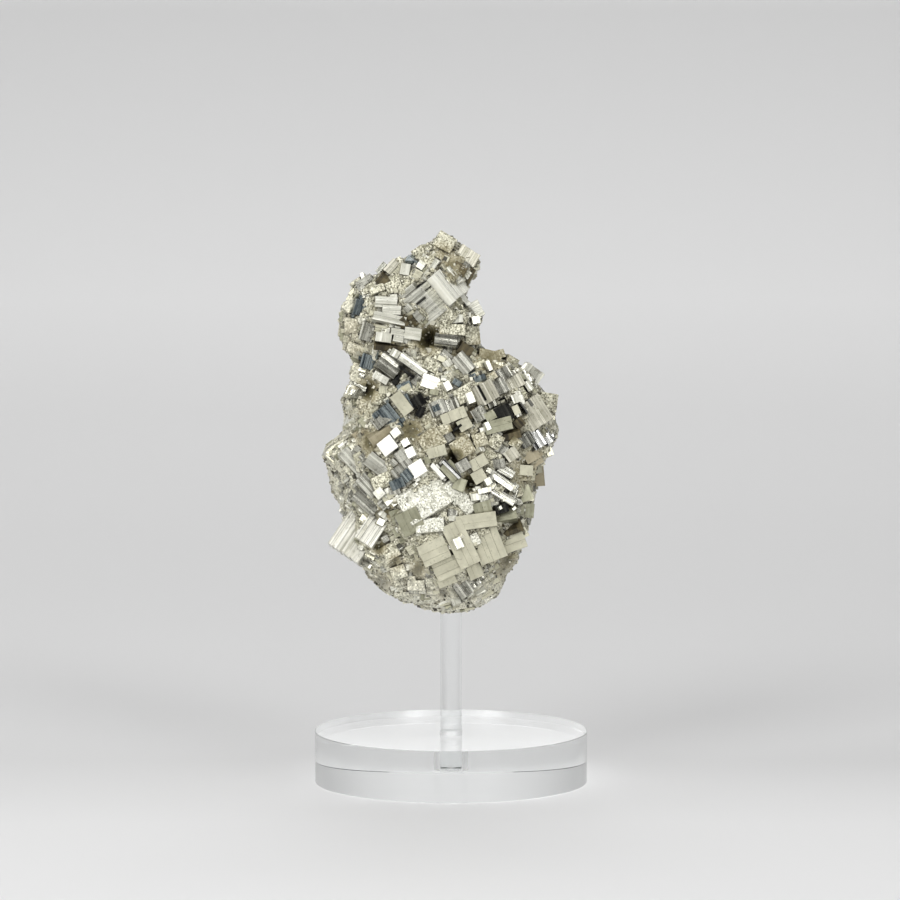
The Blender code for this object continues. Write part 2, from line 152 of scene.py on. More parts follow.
# Crystals on the front, each a square block seen from the eye against the plane y = 0.
# Across, up, width, height (mm), roll of its edges, swing of its face to the right, tilt of its face upwards
# (degrees), how far it stands proud of the heart (mm), its finish, and the side that its growth lines follow: a
# small letter for fine courses, a capital for wide ones.
FRONT_CRYSTALS = (
    # Head of the specimen
    (-2.6, 200.6, 7.6, 6.4, -30, 0, 15, 3, "crust", ""),
    (-11, 197.6, 5, 4, 35, -20, 10, 1.5, "crust", ""),
    (5.5, 196.1, 8, 5.5, -33, 10, 10, 3, "satin", "y"),
    (8.4, 195, 1.8, 2, -33, 10, 10, 3.3, "dark", "y"),
    (6.3, 189.5, 2.8, 6.5, -28, 15, 0, 1.2, "brown", "y"),
    (-14, 193.7, 5, 3.5, -5, -10, -20, 2, "slate", ""),
    (-21.3, 190.6, 5.2, 6, -40, -10, 12, 3.4, "satin", "y"),
    (-25, 191, 2, 5, -40, -20, 0, 3.2, "gunmetal", "y"),
    (-24.2, 187.4, 5.4, 3.6, -38, 0, -20, 4, "brown", ""),
    (-19.5, 192.5, 5, 5, 30, 0, 10, 2, "crust", ""),
    (-17, 191, 3.5, 4.5, -10, 0, 5, 2.5, "bright", ""),
    (-31, 185.7, 7, 3, 33, -10, 30, 2.5, "grey", "x"),
    (-34, 186, 5, 4, 33, -20, 0, 2, "crust", ""),
    (-27, 183, 6, 3, 20, 0, 20, 2.5, "crust", ""),
    (-21, 184.5, 6, 4.5, 25, 0, 10, 2.5, "crust", ""),
    (-37, 177, 4.5, 5.5, -40, -20, 10, 2, "crust", ""),
    (-33.5, 177.5, 5.5, 6, -15, 10, -10, 2.5, "slate", "y"),
    (-24, 178.5, 8.5, 4, -3, 0, 10, 3, "bright", "x"),
    (-22, 175.5, 7, 3.4, -3, 0, 10, 3.5, "bright", "x"),
    (-23, 172, 12.5, 3.2, -12, 0, 15, 4.5, "bright", "x"),
    (-25, 165.7, 5.8, 3.6, -8, 0, 5, 4.5, "bright", ""),
    (-14.2, 167, 6.6, 4.3, -8, 0, 5, 4.5, "bright", "x"),
    (-36.5, 170.6, 6, 5.5, -3, 0, -5, 2, "crust", ""),
    (-31, 168, 5, 7, -15, 0, 0, 2.5, "grey", "y"),
    (-35, 162, 7, 4, -20, 0, -10, 2, "crust", ""),
    (-9.8, 177.8, 12.8, 15, -51, 0, -32, 7, "silver", "y"),
    (-3.4, 183.7, 12.8, 12.6, -51, 0, 58, 6.5, "white", "x"),
    (-14.8, 183, 4, 8, -51, 0, -20, 4, "silver", "y"),
    (7.6, 175.2, 7.6, 6.2, 28, 10, 4, 3.2, "bright", "x"),
    (-2, 174.3, 7, 6.5, -40, 5, -5, 4, "crust", ""),
    (2.5, 172.3, 4, 3, 5, 0, 10, 3.5, "bright", ""),
    (-2, 163.7, 8.8, 4.6, -7, 0, 22, 3.5, "grey", "x"),
    (0.5, 168.7, 10, 4.2, -3, 0, 5, 3, "crust", ""),
    (4.8, 161.6, 5.2, 4.6, -35, 10, 0, 3.5, "brown", ""),
    (7, 166.5, 6, 7, 5, 20, 0, 2, "crust", ""),
    # Shoulder and waist
    (-30, 157.5, 6.5, 6, -15, 0, -15, 2.5, "slate", "y"),
    (-23.3, 155.2, 9, 6.5, -37, 0, 10, 3.5, "grey", "x"),
    (-14.7, 155.3, 12, 3.4, -36, 4, 13, 3.5, "silver", "x"),
    (-26, 151, 6, 3, -30, 0, 0, 2.5, "bright", ""),
    (-20.8, 150, 4, 3.4, 45, 10, -20, 2.5, "dark", ""),
    (-33, 152, 7, 7, -25, -10, 0, 1.6, "crust", ""),
    (-8, 155, 6.5, 4.4, -30, 10, 15, 3, "crust", ""),
    (-8, 148.5, 8, 5, -20, 10, 15, 3.5, "bright", "x"),
    (-18.2, 141.4, 4.6, 9, 37, 0, 0, 4.5, "brassy", ""),
    (-22.5, 137.8, 5.5, 8.5, 37, -12, -8, 4, "slate", "y"),
    (-26.5, 137.7, 4, 4, 37, -12, -8, 3.5, "slate", "y"),
    (-25.3, 134.8, 7, 4, 37, 0, 5, 3, "grey", "y"),
    (-27, 142.8, 5, 5, -15, 0, 10, 3, "crust", ""),
    (-12.5, 142.8, 5, 4.6, 32, 0, -10, 4.5, "dark", "y"),
    (-4.8, 139.8, 6, 5.5, 22, 0, 0, 4.5, "grey", "y"),
    (0.2, 141, 4.6, 5.4, 22, 5, -5, 4.5, "grey", "y"),
    (1, 136.9, 9.5, 4.2, 22, 0, 0, 5, "brassy", "Y"),
    (4.7, 144.7, 7, 6, 28, 0, 0, 4, "crust", ""),
    (7, 138.3, 3.6, 3.2, 30, 0, -15, 4.5, "brown", ""),
    (4.4, 156.2, 8, 5.4, -50, 0, 4, 3, "silver", "x"),
    (13.8, 158.2, 9, 5.6, -12, 10, 10, 2.5, "crust", ""),
    (18, 159.2, 3.4, 3.4, 15, 10, 10, 2.5, "crust", ""),
    (21.5, 156.8, 5, 4.4, -30, 20, 10, 2, "crust", ""),
    (19.7, 152.2, 4.6, 4.6, 30, 5, 5, 4.5, "grey", ""),
    (12.6, 145.3, 8.6, 8, 28, 0, 0, 4.5, "satin", "y"),
    (18, 147.2, 5.4, 6, 28, 5, 5, 4, "grey", "y"),
    (23.3, 148.8, 6.6, 5.2, 28, 10, 5, 3.5, "satin", "y"),
    (29.4, 152.2, 7.6, 6.2, -37, 10, 5, 3, "silver", "y"),
    (19.5, 138.8, 5.8, 6.4, 26, -5, -12, 6.4, "dark", ""),
    (14.6, 136.8, 4, 3.4, 28, 0, 0, 5, "olive", ""),
    (17.6, 133.2, 10.4, 4.8, 14, 0, 0, 5, "olive", "X"),
    (30.7, 138, 10, 11, 33, 2, -4, 4.5, "satin", "y"),
    (35.2, 141.8, 7, 7, -10, 20, 5, 2.5, "crust", ""),
    (24.9, 134.7, 3.6, 3.8, 40, 0, -10, 4, "brown", ""),
    (22.5, 130.9, 6.5, 3, 15, 0, -25, 3.5, "brown", ""),
    (31.4, 128.2, 5, 6.5, 33, 5, -8, 4.8, "banded", "y"),
    (27.4, 128, 5.4, 5.2, 33, 5, -8, 4.8, "gunmetal", "y"),
    (34.8, 129.3, 3.6, 6.4, 33, 8, -8, 3.5, "banded", "y"),
    (10.6, 137.4, 5.2, 5.6, 30, 0, 0, 4.5, "grey", "y"),
    # Belly
    (-22.2, 125.5, 6.2, 5.8, 38, -12, 12, 5.5, "white", ""),
    (-13.8, 122.8, 3.4, 3.8, 28, -12, 12, 5.5, "white", ""),
    (-11, 116.7, 5.8, 5.6, 32, -12, 12, 6, "white", ""),
    (-26.3, 129.8, 9, 4.6, 32, 0, -15, 4.5, "tan", ""),
    (-7.2, 127.6, 9, 8, 35, 0, 0, 4.5, "crust", ""),
    (-5.3, 123.4, 7, 4, 15, 0, 0, 5, "brassy", "Y"),
    (4.2, 125, 8, 7.4, 30, 0, 0, 4.5, "crust", ""),
    (5.2, 133.4, 5, 4.4, 30, 0, 5, 4.5, "brassy", ""),
    (-2.2, 131.6, 5, 4, 25, 0, 5, 4.5, "crust", ""),
    (10.6, 127.5, 5.4, 5.2, 20, 5, 5, 4, "crust", ""),
    (16.4, 127.5, 5, 5.6, -30, 5, 0, 3.5, "crust", ""),
    (-18, 122.3, 4.8, 4.4, 37, -5, 0, 4.5, "grey", ""),
    (-16.3, 115.7, 8.6, 8.2, 37, -5, 0, 5, "grey", ""),
    (-19.6, 112.6, 5.4, 3.8, 24, -8, -10, 7.4, "slate", ""),
    (-16.4, 115.6, 3.8, 4.4, 37, -8, -10, 7.2, "slate", "y"),
    (-36.8, 119.2, 11, 4.6, -48, -10, 10, 3.5, "silver", "x"),
    (-27.3, 118, 10, 5.6, -38, 0, 5, 3.5, "silver", "x"),
    (-31.2, 110.5, 9, 4.6, -48, 0, 5, 4.5, "silver", "x"),
    (-31.8, 104.4, 10.5, 5.4, -43, 0, 5, 5, "grey", "x"),
    (-25.3, 111.7, 8, 5.6, 25, 0, 10, 4.5, "crust", ""),
    (-26.2, 107.3, 3.6, 3.6, 40, 0, 10, 5.5, "bright", ""),
    (0.2, 116.2, 7.6, 5.2, -47, 0, 0, 5, "olive", "x"),
    (2.6, 110.6, 4.6, 5, -20, 5, 10, 5, "olive", ""),
    (4.5, 118.2, 5, 4.4, 30, 0, 0, 5.5, "grey", ""),
    (10.2, 119.4, 6.6, 4.4, 30, 0, 0, 5, "brassy", "Y"),
    (10.4, 114.2, 5, 4.8, 30, 0, 0, 4.5, "brassy", ""),
    (18.2, 112.2, 10.4, 3, -35, 5, 10, 5.5, "grey", "x"),
    (20, 115.8, 6.4, 3.2, -30, 5, 5, 5, "grey", "x"),
    (18, 118.6, 4.4, 3.4, 10, 0, 5, 5, "grey", ""),
    (18.9, 106.6, 9.6, 3, -30, 5, 5, 5.5, "grey", "x"),
    (18.4, 103, 5.4, 3.6, 15, 0, -10, 5.5, "dark", ""),
    (22.6, 122.4, 5, 4.6, 35, 0, 0, 4.5, "satin", "y"),
    (23.4, 127, 4.6, 4, -35, 10, 0, 4, "crust", ""),
    (29, 121.8, 6, 5.4, 30, 15, 0, 3.5, "tan", ""),
    (27.4, 116.6, 5, 4, -3, 8, 0, 4, "brassy", ""),
    (31.6, 114, 4, 7.4, 5, 30, 0, 1.5, "tan", ""),
    (26.5, 107.5, 5.6, 6, 20, 12, 0, 3, "olive", ""),
    (27.5, 101.5, 4.6, 5.5, -5, 25, 0, 2.2, "olive", ""),
    # Base of the stone, with its large smooth crystals
    (-35.2, 91.9, 13.4, 17, -33, -9, 5, 4.6, "cream", "y"),
    (-29.3, 93.1, 7.6, 10.5, -33, -10, 5, 5.4, "cream", "y"),
    (-9.6, 105.2, 19, 13, 31, 0, 8, 5, "white crust", ""),
    (2.3, 106.4, 15, 5.4, -48, 8, 10, 5.5, "white crust", ""),
    (-15, 98, 8.6, 9, 25, -5, -8, 6.5, "olive", "Y"),
    (-7.8, 95.3, 11, 5.4, 5, 0, 8, 5.5, "white crust", ""),
    (-6.4, 86.2, 10.6, 8.2, 24, 0, -2, 8, "brassy", "X"),
    (-1.2, 80.3, 10.8, 7, 24, 0, -2, 8, "brassy", "X"),
    (-1.8, 75.8, 7, 4, 22, 0, -5, 7, "brassy", ""),
    (3.7, 88.8, 8, 17.4, 26, 0, 0, 7, "brassy", "Y"),
    (13.7, 88.6, 10.4, 12.4, 22, 2, -2, 7.5, "brassy", "Y"),
    (22.6, 90.6, 9, 8.8, 20, 3, 1, 6.5, "brassy", "X"),
    (9.4, 97.3, 15, 5.4, 8, 0, 2, 6, "brassy", "X"),
    (0.9, 88.2, 3, 4.2, 24, 18, 2, 9.4, "bright", ""),
    (8.6, 79.5, 5.4, 6.4, 22, 0, -4, 6.5, "brassy", "Y"),
    (20.7, 98.4, 8.2, 4.8, 10, 0, 20, 6, "olive", "X"),
    (11.6, 103, 6.6, 5, 15, 0, -10, 5.5, "olive", "Y"),
    (4, 72.8, 6, 6.4, 35, 0, -10, 5, "grey", ""),
    (1.8, 67.8, 3.4, 3.6, 20, 0, 5, 3.5, "bright", ""),
    (-13, 74, 6.6, 4, 0, 0, -10, 3, "crust", ""),
    (-19, 78.5, 6, 5, 20, -10, 0, 3, "crust", ""),
    (-22, 86.5, 6, 6, 30, -10, 0, 3, "crust", ""),
)

# Smaller crystals between them, thin blades and the dark slots of the striated faces, in the same form
SMALL_CRYSTALS = (
    (-10, 183.3, 1, 8.4, -51, 0, -32, 7.2, "dark", "y"),
    (-8.9, 181.3, 0.9, 4.6, -51, 0, -32, 7.2, "dark", "y"),
    (2.2, 132.2, 4.3, 1.1, 36, 0, 0, 4, "dark", ""),
    (-16.5, 153.2, 7, 1.2, -38, 0, 0, 3.3, "dark", ""),
    (28.5, 141.2, 1, 3.4, 36, 15, 0, 4.8, "dark", "y"),
    (26.1, 139, 0.9, 5, 35, 15, 0, 4.8, "dark", "y"),
    (0.3, 116.8, 1.5, 9.2, 45, 0, 0, 5.7, "banded", "y"),
    (22.2, 96.2, 8, 2.2, 20, 0, -35, 6.2, "brown", ""),
    (-5.5, 139.7, 2.8, 2.6, 22, 0, 0, 4.8, "slate", "y"),
    (-5.5, 115.5, 7, 1.6, -48, 0, 10, 6, "white", "x"),
    (-10.7, 192.5, 3, 3, 55, 0, 10, 2, "bright", ""),
    (-6.5, 192.5, 2, 4.5, -35, 0, 10, 2.5, "bright", ""),
    (-19.8, 167.6, 5.2, 2.4, -10, 0, 5, 4.5, "bright", "x"),
    (-19.5, 165.5, 4.2, 2.4, -10, 0, 0, 4, "bright", "x"),
    (-22, 163.2, 13, 2.4, -6, 0, -25, 3, "brown", ""),
    (8.2, 171.8, 3, 3, 10, 17, 6, 4, "bright", ""),
    (-21, 159.5, 3.4, 3, -30, 0, 10, 3, "bright", ""),
    (-2.3, 147.3, 2.6, 3.6, 28, 18, 0, 4.8, "bright", ""),
    (-15.8, 142.6, 2.6, 5.6, 25, -10, 0, 4, "slate", "y"),
    (-12, 138.5, 2.6, 4.2, -25, 10, 0, 4, "dark", ""),
    (5.9, 142.8, 2.8, 4.2, 22, 18, 2, 5.6, "bright", ""),
    (2.7, 149.7, 3.4, 2.4, -30, 0, -10, 4, "slate", ""),
    (13, 154.9, 1.5, 4.2, 22, 18, 2, 4.2, "bright", ""),
    (10.6, 151.2, 4.4, 2.6, 22, 0, -10, 3, "slate", ""),
    (26.4, 154.3, 1.6, 4.4, -40, 2, 12, 2.6, "bright", ""),
    (28.3, 147.8, 2.4, 4.2, 35, 7, -2, 4.4, "bright", "y"),
    (23.5, 142.2, 2.6, 3.4, 20, 10, 10, 5, "bright", ""),
    (23.8, 138.9, 2.6, 3.6, 25, 5, 0, 5, "brassy", ""),
    (12.4, 132.3, 1.7, 3.2, 25, 18, 1, 5.4, "bright", ""),
    (-19.2, 130.3, 3.4, 3.2, 38, -12, 12, 5.5, "bright", ""),
    (-15.6, 126.4, 3, 2.8, 30, -12, 12, 5, "bright", ""),
    (12.6, 111.6, 2.4, 2.6, 30, 18, 0, 5.8, "bright", ""),
    (11.2, 108.3, 5, 2, 12, 17, 5, 5.6, "bright", ""),
    (35.6, 123, 2.6, 3.6, 20, 18, 3, 2.5, "brassy", ""),
    (6.6, 70.4, 3, 3.4, 35, 5, 5, 4, "bright", ""),
    (11.4, 145.4, 0.9, 6.4, 28, 0, 0, 4.9, "dark", "y"),
    (15.4, 144.6, 0.7, 4, 28, 0, 0, 4.9, "dark", "y"),
    (-17.4, 172.6, 3.6, 4.4, -50, 10, -25, 4.6, "brown", ""),
    (-9.2, 186.6, 0.9, 2.6, -60, 0, -32, 7.4, "dark", "y"),
    (-32.2, 188.4, 1.4, 2.4, 20, -8, 12, 2.3, "bright", ""),
    (17, 101.7, 1.1, 1.5, 30, 18, 0, 6.4, "bright", ""),
    (20.3, 103.9, 1.4, 1, 20, 18, 2, 6.4, "bright", ""),
    (18.2, 104.6, 0.9, 1.2, 10, 17, 6, 6.4, "bright", ""),
    (22.2, 101.4, 1.6, 1.3, 40, 18, -3, 6, "bright", ""),
)
ROOT_DEPTH = 4.5 * MM

# Crystals on the sides, back and underside: families that share their axes
HIDDEN_SEED = 11
HIDDEN_TRIES = 2500
FAMILY_COUNT = 58
FAMILY_SPACING = 10.5 * MM
FAMILY_SPREAD = 8.0 * MM
FAMILY_SIZES = (8.0, 16.0)
FAMILY_MEMBERS = (2, 3)
OUTLINE_PLAY = 1.2 * MM
HIDDEN_SINKS = (0.2, 0.3, 0.4)
FRONT_LIMIT = -4 * MM
HIDDEN_FINISHES = ("brassy", "grey", "grey", "bright", "crust", "olive", "slate")

# Growth steps on a crystal's face: width of one course and how much the courses differ
FINE_COURSES = (0.95 * MM, 0.30 * MM)
WIDE_COURSES = (2.8 * MM, 0.16 * MM)
PLAIN_COURSES = (8.0 * MM, 0.16 * MM)
EDGE_BEVEL = 0.07 * MM
BLOCK_SEED = 23

# Small crystals that close the gaps, sizes in mm
FILL_SEED = 31
FILL_TRIES = 5200
FILL_SIZES = (2.2, 6.0)
FILL_TURN = 9
FILL_RISE = (0.3, 1.8)
FLANK = 29 * MM
FILL_FINISHES = ("grey", "bright", "brassy", "crust", "crust", "olive", "grey", "brassy", "white crust", "crust")

# How the ground between the crystals rises towards them
GROUND_REACH = 6.0 * MM
GROUND_DROP = 3.0 * MM

# The crust between the crystals
CRUST_SIDES = 300
CRUST_RINGS = 300
CLOD_SIZE = 3.2 * MM
CLOD_HEIGHT = 0.7 * MM
GRIT_SIZE = 1.5 * MM
GRIT_HEIGHT = 0.3 * MM
CRUSTED_GRAIN = 0.95 * MM
CRUSTED_RELIEF = 0.35


# Colour and nodes

def linear(code):
    """An sRGB hex colour as linear RGBA."""
    values = []
    for start in (0, 2, 4):
        part = int(code[start:start + 2], 16) / 255
        values.append(part / 12.92 if part <= 0.04045 else ((part + 0.055) / 1.055) ** 2.4)
    return (*values, 1.0)


def add_node(tree, kind, settings=None, **inputs):
    """Adds a node, sets its properties, and sets or links its inputs by name or number."""
    node = tree.nodes.new(kind)
    for key, value in (settings or {}).items():
        setattr(node, key, value)
    for key, value in inputs.items():
        socket = node.inputs[int(key[1:])] if key[0] == "n" and key[1:].isdigit() else node.inputs[key.replace("_", " ")]
        if isinstance(value, bpy.types.NodeSocket):
            tree.links.new(value, socket)
        else:
            socket.default_value = value
    return node


def new_material(name):
    made = bpy.data.materials.new(name)
    made.use_nodes = True
    tree = made.node_tree
    return made, tree, tree.nodes["Principled BSDF"]


def ramp(tree, factor, *stops, sharp=False):
    """A colour ramp from (position, linear colour) stops."""
    node = add_node(tree, "ShaderNodeValToRGB", Fac=factor)
    if sharp:
        node.color_ramp.interpolation = "CONSTANT"
    while len(node.color_ramp.elements) < len(stops):
        node.color_ramp.elements.new(0.5)
    for element, (position, colour) in zip(node.color_ramp.elements, stops):
        element.position = position
        element.color = colour
    return node.outputs["Color"]


def painted_gap_shade(tree, colour, reach):
    """Painted shade: the colour, darkened to dark brown in the gaps that ambient occlusion finds, where no light
    comes.
    """
    open_side = add_node(tree, "ShaderNodeAmbientOcclusion", {"samples": 4}, Distance=reach).outputs["AO"]
    share = add_node(tree, "ShaderNodeMapRange", Value=open_side)
    share.inputs["From Min"].default_value = 0.15
    share.inputs["From Max"].default_value = 0.65
    deep = linear("2B2518")
    return add_node(tree, "ShaderNodeMix", {"data_type": "RGBA"}, n0=share.outputs[0], n6=deep, n7=colour).outputs[2]


# Pyrite finishes

def growth_face(name, pale, deep, roughness, metallic, lines, relief, patch, lean):
    """A crystal face with growth lines: pale and deep are the colours that its courses vary between."""
    made, tree, shader = new_material(name)
    place = add_node(tree, "ShaderNodeUVMap", {"uv_map": "growth"}).outputs["UV"]
    crystal = add_node(tree, "ShaderNodeAttribute", {"attribute_name": "crystal"}).outputs["Fac"]
    spread = add_node(tree, "ShaderNodeSeparateXYZ", Vector=place)
    seed = add_node(tree, "ShaderNodeMath", {"operation": "MULTIPLY"}, n0=crystal, n1=97.0).outputs[0]
    along = add_node(tree, "ShaderNodeMath", {"operation": "MULTIPLY"}, n0=spread.outputs["Y"], n1=0.06).outputs[0]
    strand = add_node(tree, "ShaderNodeCombineXYZ", X=spread.outputs["X"], Y=along, Z=seed).outputs[0]
    # Lines 0.4 to 1 mm apart, real ones go finer than the picture can show
    fine = add_node(
        tree, "ShaderNodeTexNoise", {"noise_dimensions": "3D"}, Vector=strand, Scale=1.6, Detail=3.0, Roughness=0.7,
    ).outputs["Fac"]
    course = add_node(tree, "ShaderNodeMath", {"operation": "ADD"}, n0=spread.outputs["X"], n1=seed).outputs[0]
    plate = add_node(
        tree, "ShaderNodeTexVoronoi", {"voronoi_dimensions": "1D", "feature": "F1"}, W=course, Scale=1.1,
    ).outputs["Color"]
    plate = add_node(tree, "ShaderNodeSeparateColor", Color=plate).outputs["Red"]
    solid = add_node(tree, "ShaderNodeTexCoord").outputs["Object"]
    cloud = add_node(
        tree, "ShaderNodeTexNoise", Vector=solid, Scale=240.0, Detail=4.0, Roughness=0.6,
    ).outputs["Fac"]
    mixed = add_node(tree, "ShaderNodeMix", {"data_type": "FLOAT"}, n0=0.45, n2=fine, n3=plate).outputs[0]
    calm = add_node(tree, "ShaderNodeMapRange", Value=mixed)
    calm.inputs["From Min"].default_value = 0.25
    calm.inputs["From Max"].default_value = 0.75
    calm.inputs["To Min"].default_value = 0.5 - lines / 2
    calm.inputs["To Max"].default_value = 0.5 + lines / 2
    blotch = add_node(tree, "ShaderNodeMapRange", Value=cloud)
    blotch.inputs["From Min"].default_value = 0.3
    blotch.inputs["From Max"].default_value = 0.7
    blotch.inputs["To Min"].default_value = -patch / 2
    blotch.inputs["To Max"].default_value = patch / 2
    shade = add_node(
        tree, "ShaderNodeMath", {"operation": "ADD", "use_clamp": True}, n0=calm.outputs[0], n1=blotch.outputs[0],
    ).outputs[0]
    # Etch pits and specks of matrix, 0.3 to 0.8 mm across
    speckle = add_node(tree, "ShaderNodeTexNoise", Vector=solid, Scale=900.0, Detail=3.0, Roughness=0.7).outputs["Fac"]
    speck = add_node(tree, "ShaderNodeMapRange", Value=speckle)
    speck.inputs["From Min"].default_value = 0.60
    speck.inputs["From Max"].default_value = 0.70
    speck.inputs["To Max"].default_value = 0.8
    clean = add_node(
        tree, "ShaderNodeMath", {"operation": "SUBTRACT", "use_clamp": True}, n0=shade, n1=speck.outputs[0],
    ).outputs[0]
    colour = ramp(tree, clean, (0.0, linear(deep)), (1.0, linear(pale)))
    # Painted shade: the colour darkens to dark brown in the gaps
    tree.links.new(painted_gap_shade(tree, colour, 2.0 * MM), shader.inputs["Base Color"])
    dull = add_node(tree, "ShaderNodeMapRange", Value=cloud)
    dull.inputs["To Min"].default_value = roughness * 0.7
    dull.inputs["To Max"].default_value = roughness * 1.4
    tree.links.new(dull.outputs[0], shader.inputs["Roughness"])
    shader.inputs["Metallic"].default_value = metallic
    # Each course is a crystal face of its own and leans a little about the growth lines
    sideways = add_node(tree, "ShaderNodeTangent", {"direction_type": "UV_MAP", "uv_map": "growth"}).outputs[0]
    amount = add_node(tree, "ShaderNodeMapRange", Value=plate)
    amount.inputs["To Min"].default_value = -lean
    amount.inputs["To Max"].default_value = lean
    leant = add_node(tree, "ShaderNodeVectorMath", {"operation": "SCALE"}, n0=sideways, Scale=amount.outputs[0])
    upright = add_node(tree, "ShaderNodeNewGeometry").outputs["Normal"]
    summed = add_node(tree, "ShaderNodeVectorMath", {"operation": "ADD"}, n0=upright, n1=leant.outputs[0])
    facet = add_node(tree, "ShaderNodeVectorMath", {"operation": "NORMALIZE"}, n0=summed.outputs[0]).outputs[0]
    grain = add_node(tree, "ShaderNodeTexNoise", Vector=solid, Scale=1500.0, Detail=3.0, Roughness=0.7).outputs["Fac"]
    dust = add_node(tree, "ShaderNodeBump", Strength=0.35, Distance=0.05 * MM, Height=grain, Normal=facet)
    wave = add_node(tree, "ShaderNodeTexNoise", Vector=solid, Scale=300.0, Detail=1.0).outputs["Fac"]
    wavy = add_node(
        tree, "ShaderNodeBump", Strength=0.5, Distance=0.12 * MM, Height=wave, Normal=dust.outputs["Normal"],
    )
    ridged = add_node(
        tree, "ShaderNodeBump", Strength=relief, Distance=0.12 * MM, Height=mixed, Normal=wavy.outputs["Normal"],
    )
    tree.links.new(ridged.outputs["Normal"], shader.inputs["Normal"])
    return made


def granular_crust(name, pale, middle, deep, roughness, metallic):
    """Sugary crust of tiny crystals: every grain, about 0.7 mm, has its own tone and tilt."""
    made, tree, shader = new_material(name)
    solid = add_node(tree, "ShaderNodeTexCoord").outputs["Object"]
    grains = add_node(tree, "ShaderNodeTexVoronoi", Vector=solid, Scale=1 / (0.5 * MM))
    tilt = add_node(tree, "ShaderNodeVectorMath", {"operation": "SUBTRACT"}, n0=grains.outputs["Color"])
    tilt.inputs[1].default_value = (0.5, 0.5, 0.5)
    lean = add_node(tree, "ShaderNodeVectorMath", {"operation": "SCALE"}, n0=tilt.outputs[0])
    lean.inputs["Scale"].default_value = 0.6
    upright = add_node(tree, "ShaderNodeNewGeometry").outputs["Normal"]
    leant = add_node(tree, "ShaderNodeVectorMath", {"operation": "ADD"}, n0=upright, n1=lean.outputs[0])
    facet = add_node(tree, "ShaderNodeVectorMath", {"operation": "NORMALIZE"}, n0=leant.outputs[0])
    tone = add_node(tree, "ShaderNodeSeparateColor", Color=grains.outputs["Color"]).outputs["Green"]
    cloud = add_node(tree, "ShaderNodeTexNoise", Vector=solid, Scale=170.0, Detail=5.0, Roughness=0.65).outputs["Fac"]
    both = add_node(tree, "ShaderNodeMix", {"data_type": "FLOAT"}, n0=0.5, n2=tone, n3=cloud).outputs[0]
    colour = ramp(
        tree, both, (0.25, linear(deep)), (0.48, linear(middle)), (0.68, linear(pale)),
    )
    # Ochre iron film, turning to black-brown painted shade in the cavities
    film_and_shade = add_node(tree, "ShaderNodeAttribute", {"attribute_name": "film_and_shade"}).outputs["Fac"]
    rust_and_hollow_shade = ramp(tree, film_and_shade, (0.0, linear("A5966E")), (0.5, linear("716A4B")), (1.0, linear("14110B")))
    cover = add_node(tree, "ShaderNodeMapRange", Value=film_and_shade)
    cover.inputs["From Max"].default_value = 0.5
    filmed = add_node(tree, "ShaderNodeMix", {"data_type": "RGBA"}, n0=cover.outputs[0], n6=colour, n7=rust_and_hollow_shade)
    # Painted light: the crust is painted paler, towards cream, at the foot of the stone and along its left flank,
    # to lighten them where the lamps reach less
    where = add_node(tree, "ShaderNodeSeparateXYZ", Vector=solid).outputs
    shares = []
    for axis, start, end, most in (("Z", 88, 70, 0.45), ("X", -31, -40, 0.25)):
        share = add_node(tree, "ShaderNodeMapRange", Value=where[axis])
        share.inputs["From Min"].default_value = start * MM
        share.inputs["From Max"].default_value = end * MM
        share.inputs["To Max"].default_value = most
        shares.append(share.outputs[0])
    painted_light_share = add_node(tree, "ShaderNodeMath", {"operation": "MAXIMUM"}, n0=shares[0], n1=shares[1]).outputs[0]
    painted_lighter = add_node(
        tree, "ShaderNodeMix", {"data_type": "RGBA"}, n0=painted_light_share, n6=filmed.outputs[2], n7=linear("FFFCEC"),
    ).outputs[2]
    # Painted shade: the colour darkens to dark brown in the gaps
    tree.links.new(painted_gap_shade(tree, painted_lighter, 2.5 * MM), shader.inputs["Base Color"])
    tree.links.new(facet.outputs[0], shader.inputs["Normal"])
    shader.inputs["Roughness"].default_value = roughness
    shader.inputs["Metallic"].default_value = metallic
    return made


def druse_face(name, pale, deep, roughness, metallic):
    """Faces of the tiny cubes, each cube with a tone of its own."""
    made, tree, shader = new_material(name)
    tone = add_node(tree, "ShaderNodeAttribute", {"attribute_name": "tone"}).outputs["Fac"]
    colour = ramp(tree, tone, (0.0, linear(deep)), (1.0, linear(pale)))
    # Painted shade: the colour darkens to dark brown in the gaps
    tree.links.new(painted_gap_shade(tree, colour, 1.5 * MM), shader.inputs["Base Color"])
    solid = add_node(tree, "ShaderNodeTexCoord").outputs["Object"]
    grain = add_node(tree, "ShaderNodeTexNoise", Vector=solid, Scale=2500.0, Detail=2.0).outputs["Fac"]
    dust = add_node(tree, "ShaderNodeBump", Strength=0.3, Distance=0.05 * MM, Height=grain)
    tree.links.new(dust.outputs["Normal"], shader.inputs["Normal"])
    shader.inputs["Roughness"].default_value = roughness
    shader.inputs["Metallic"].default_value = metallic
    return made


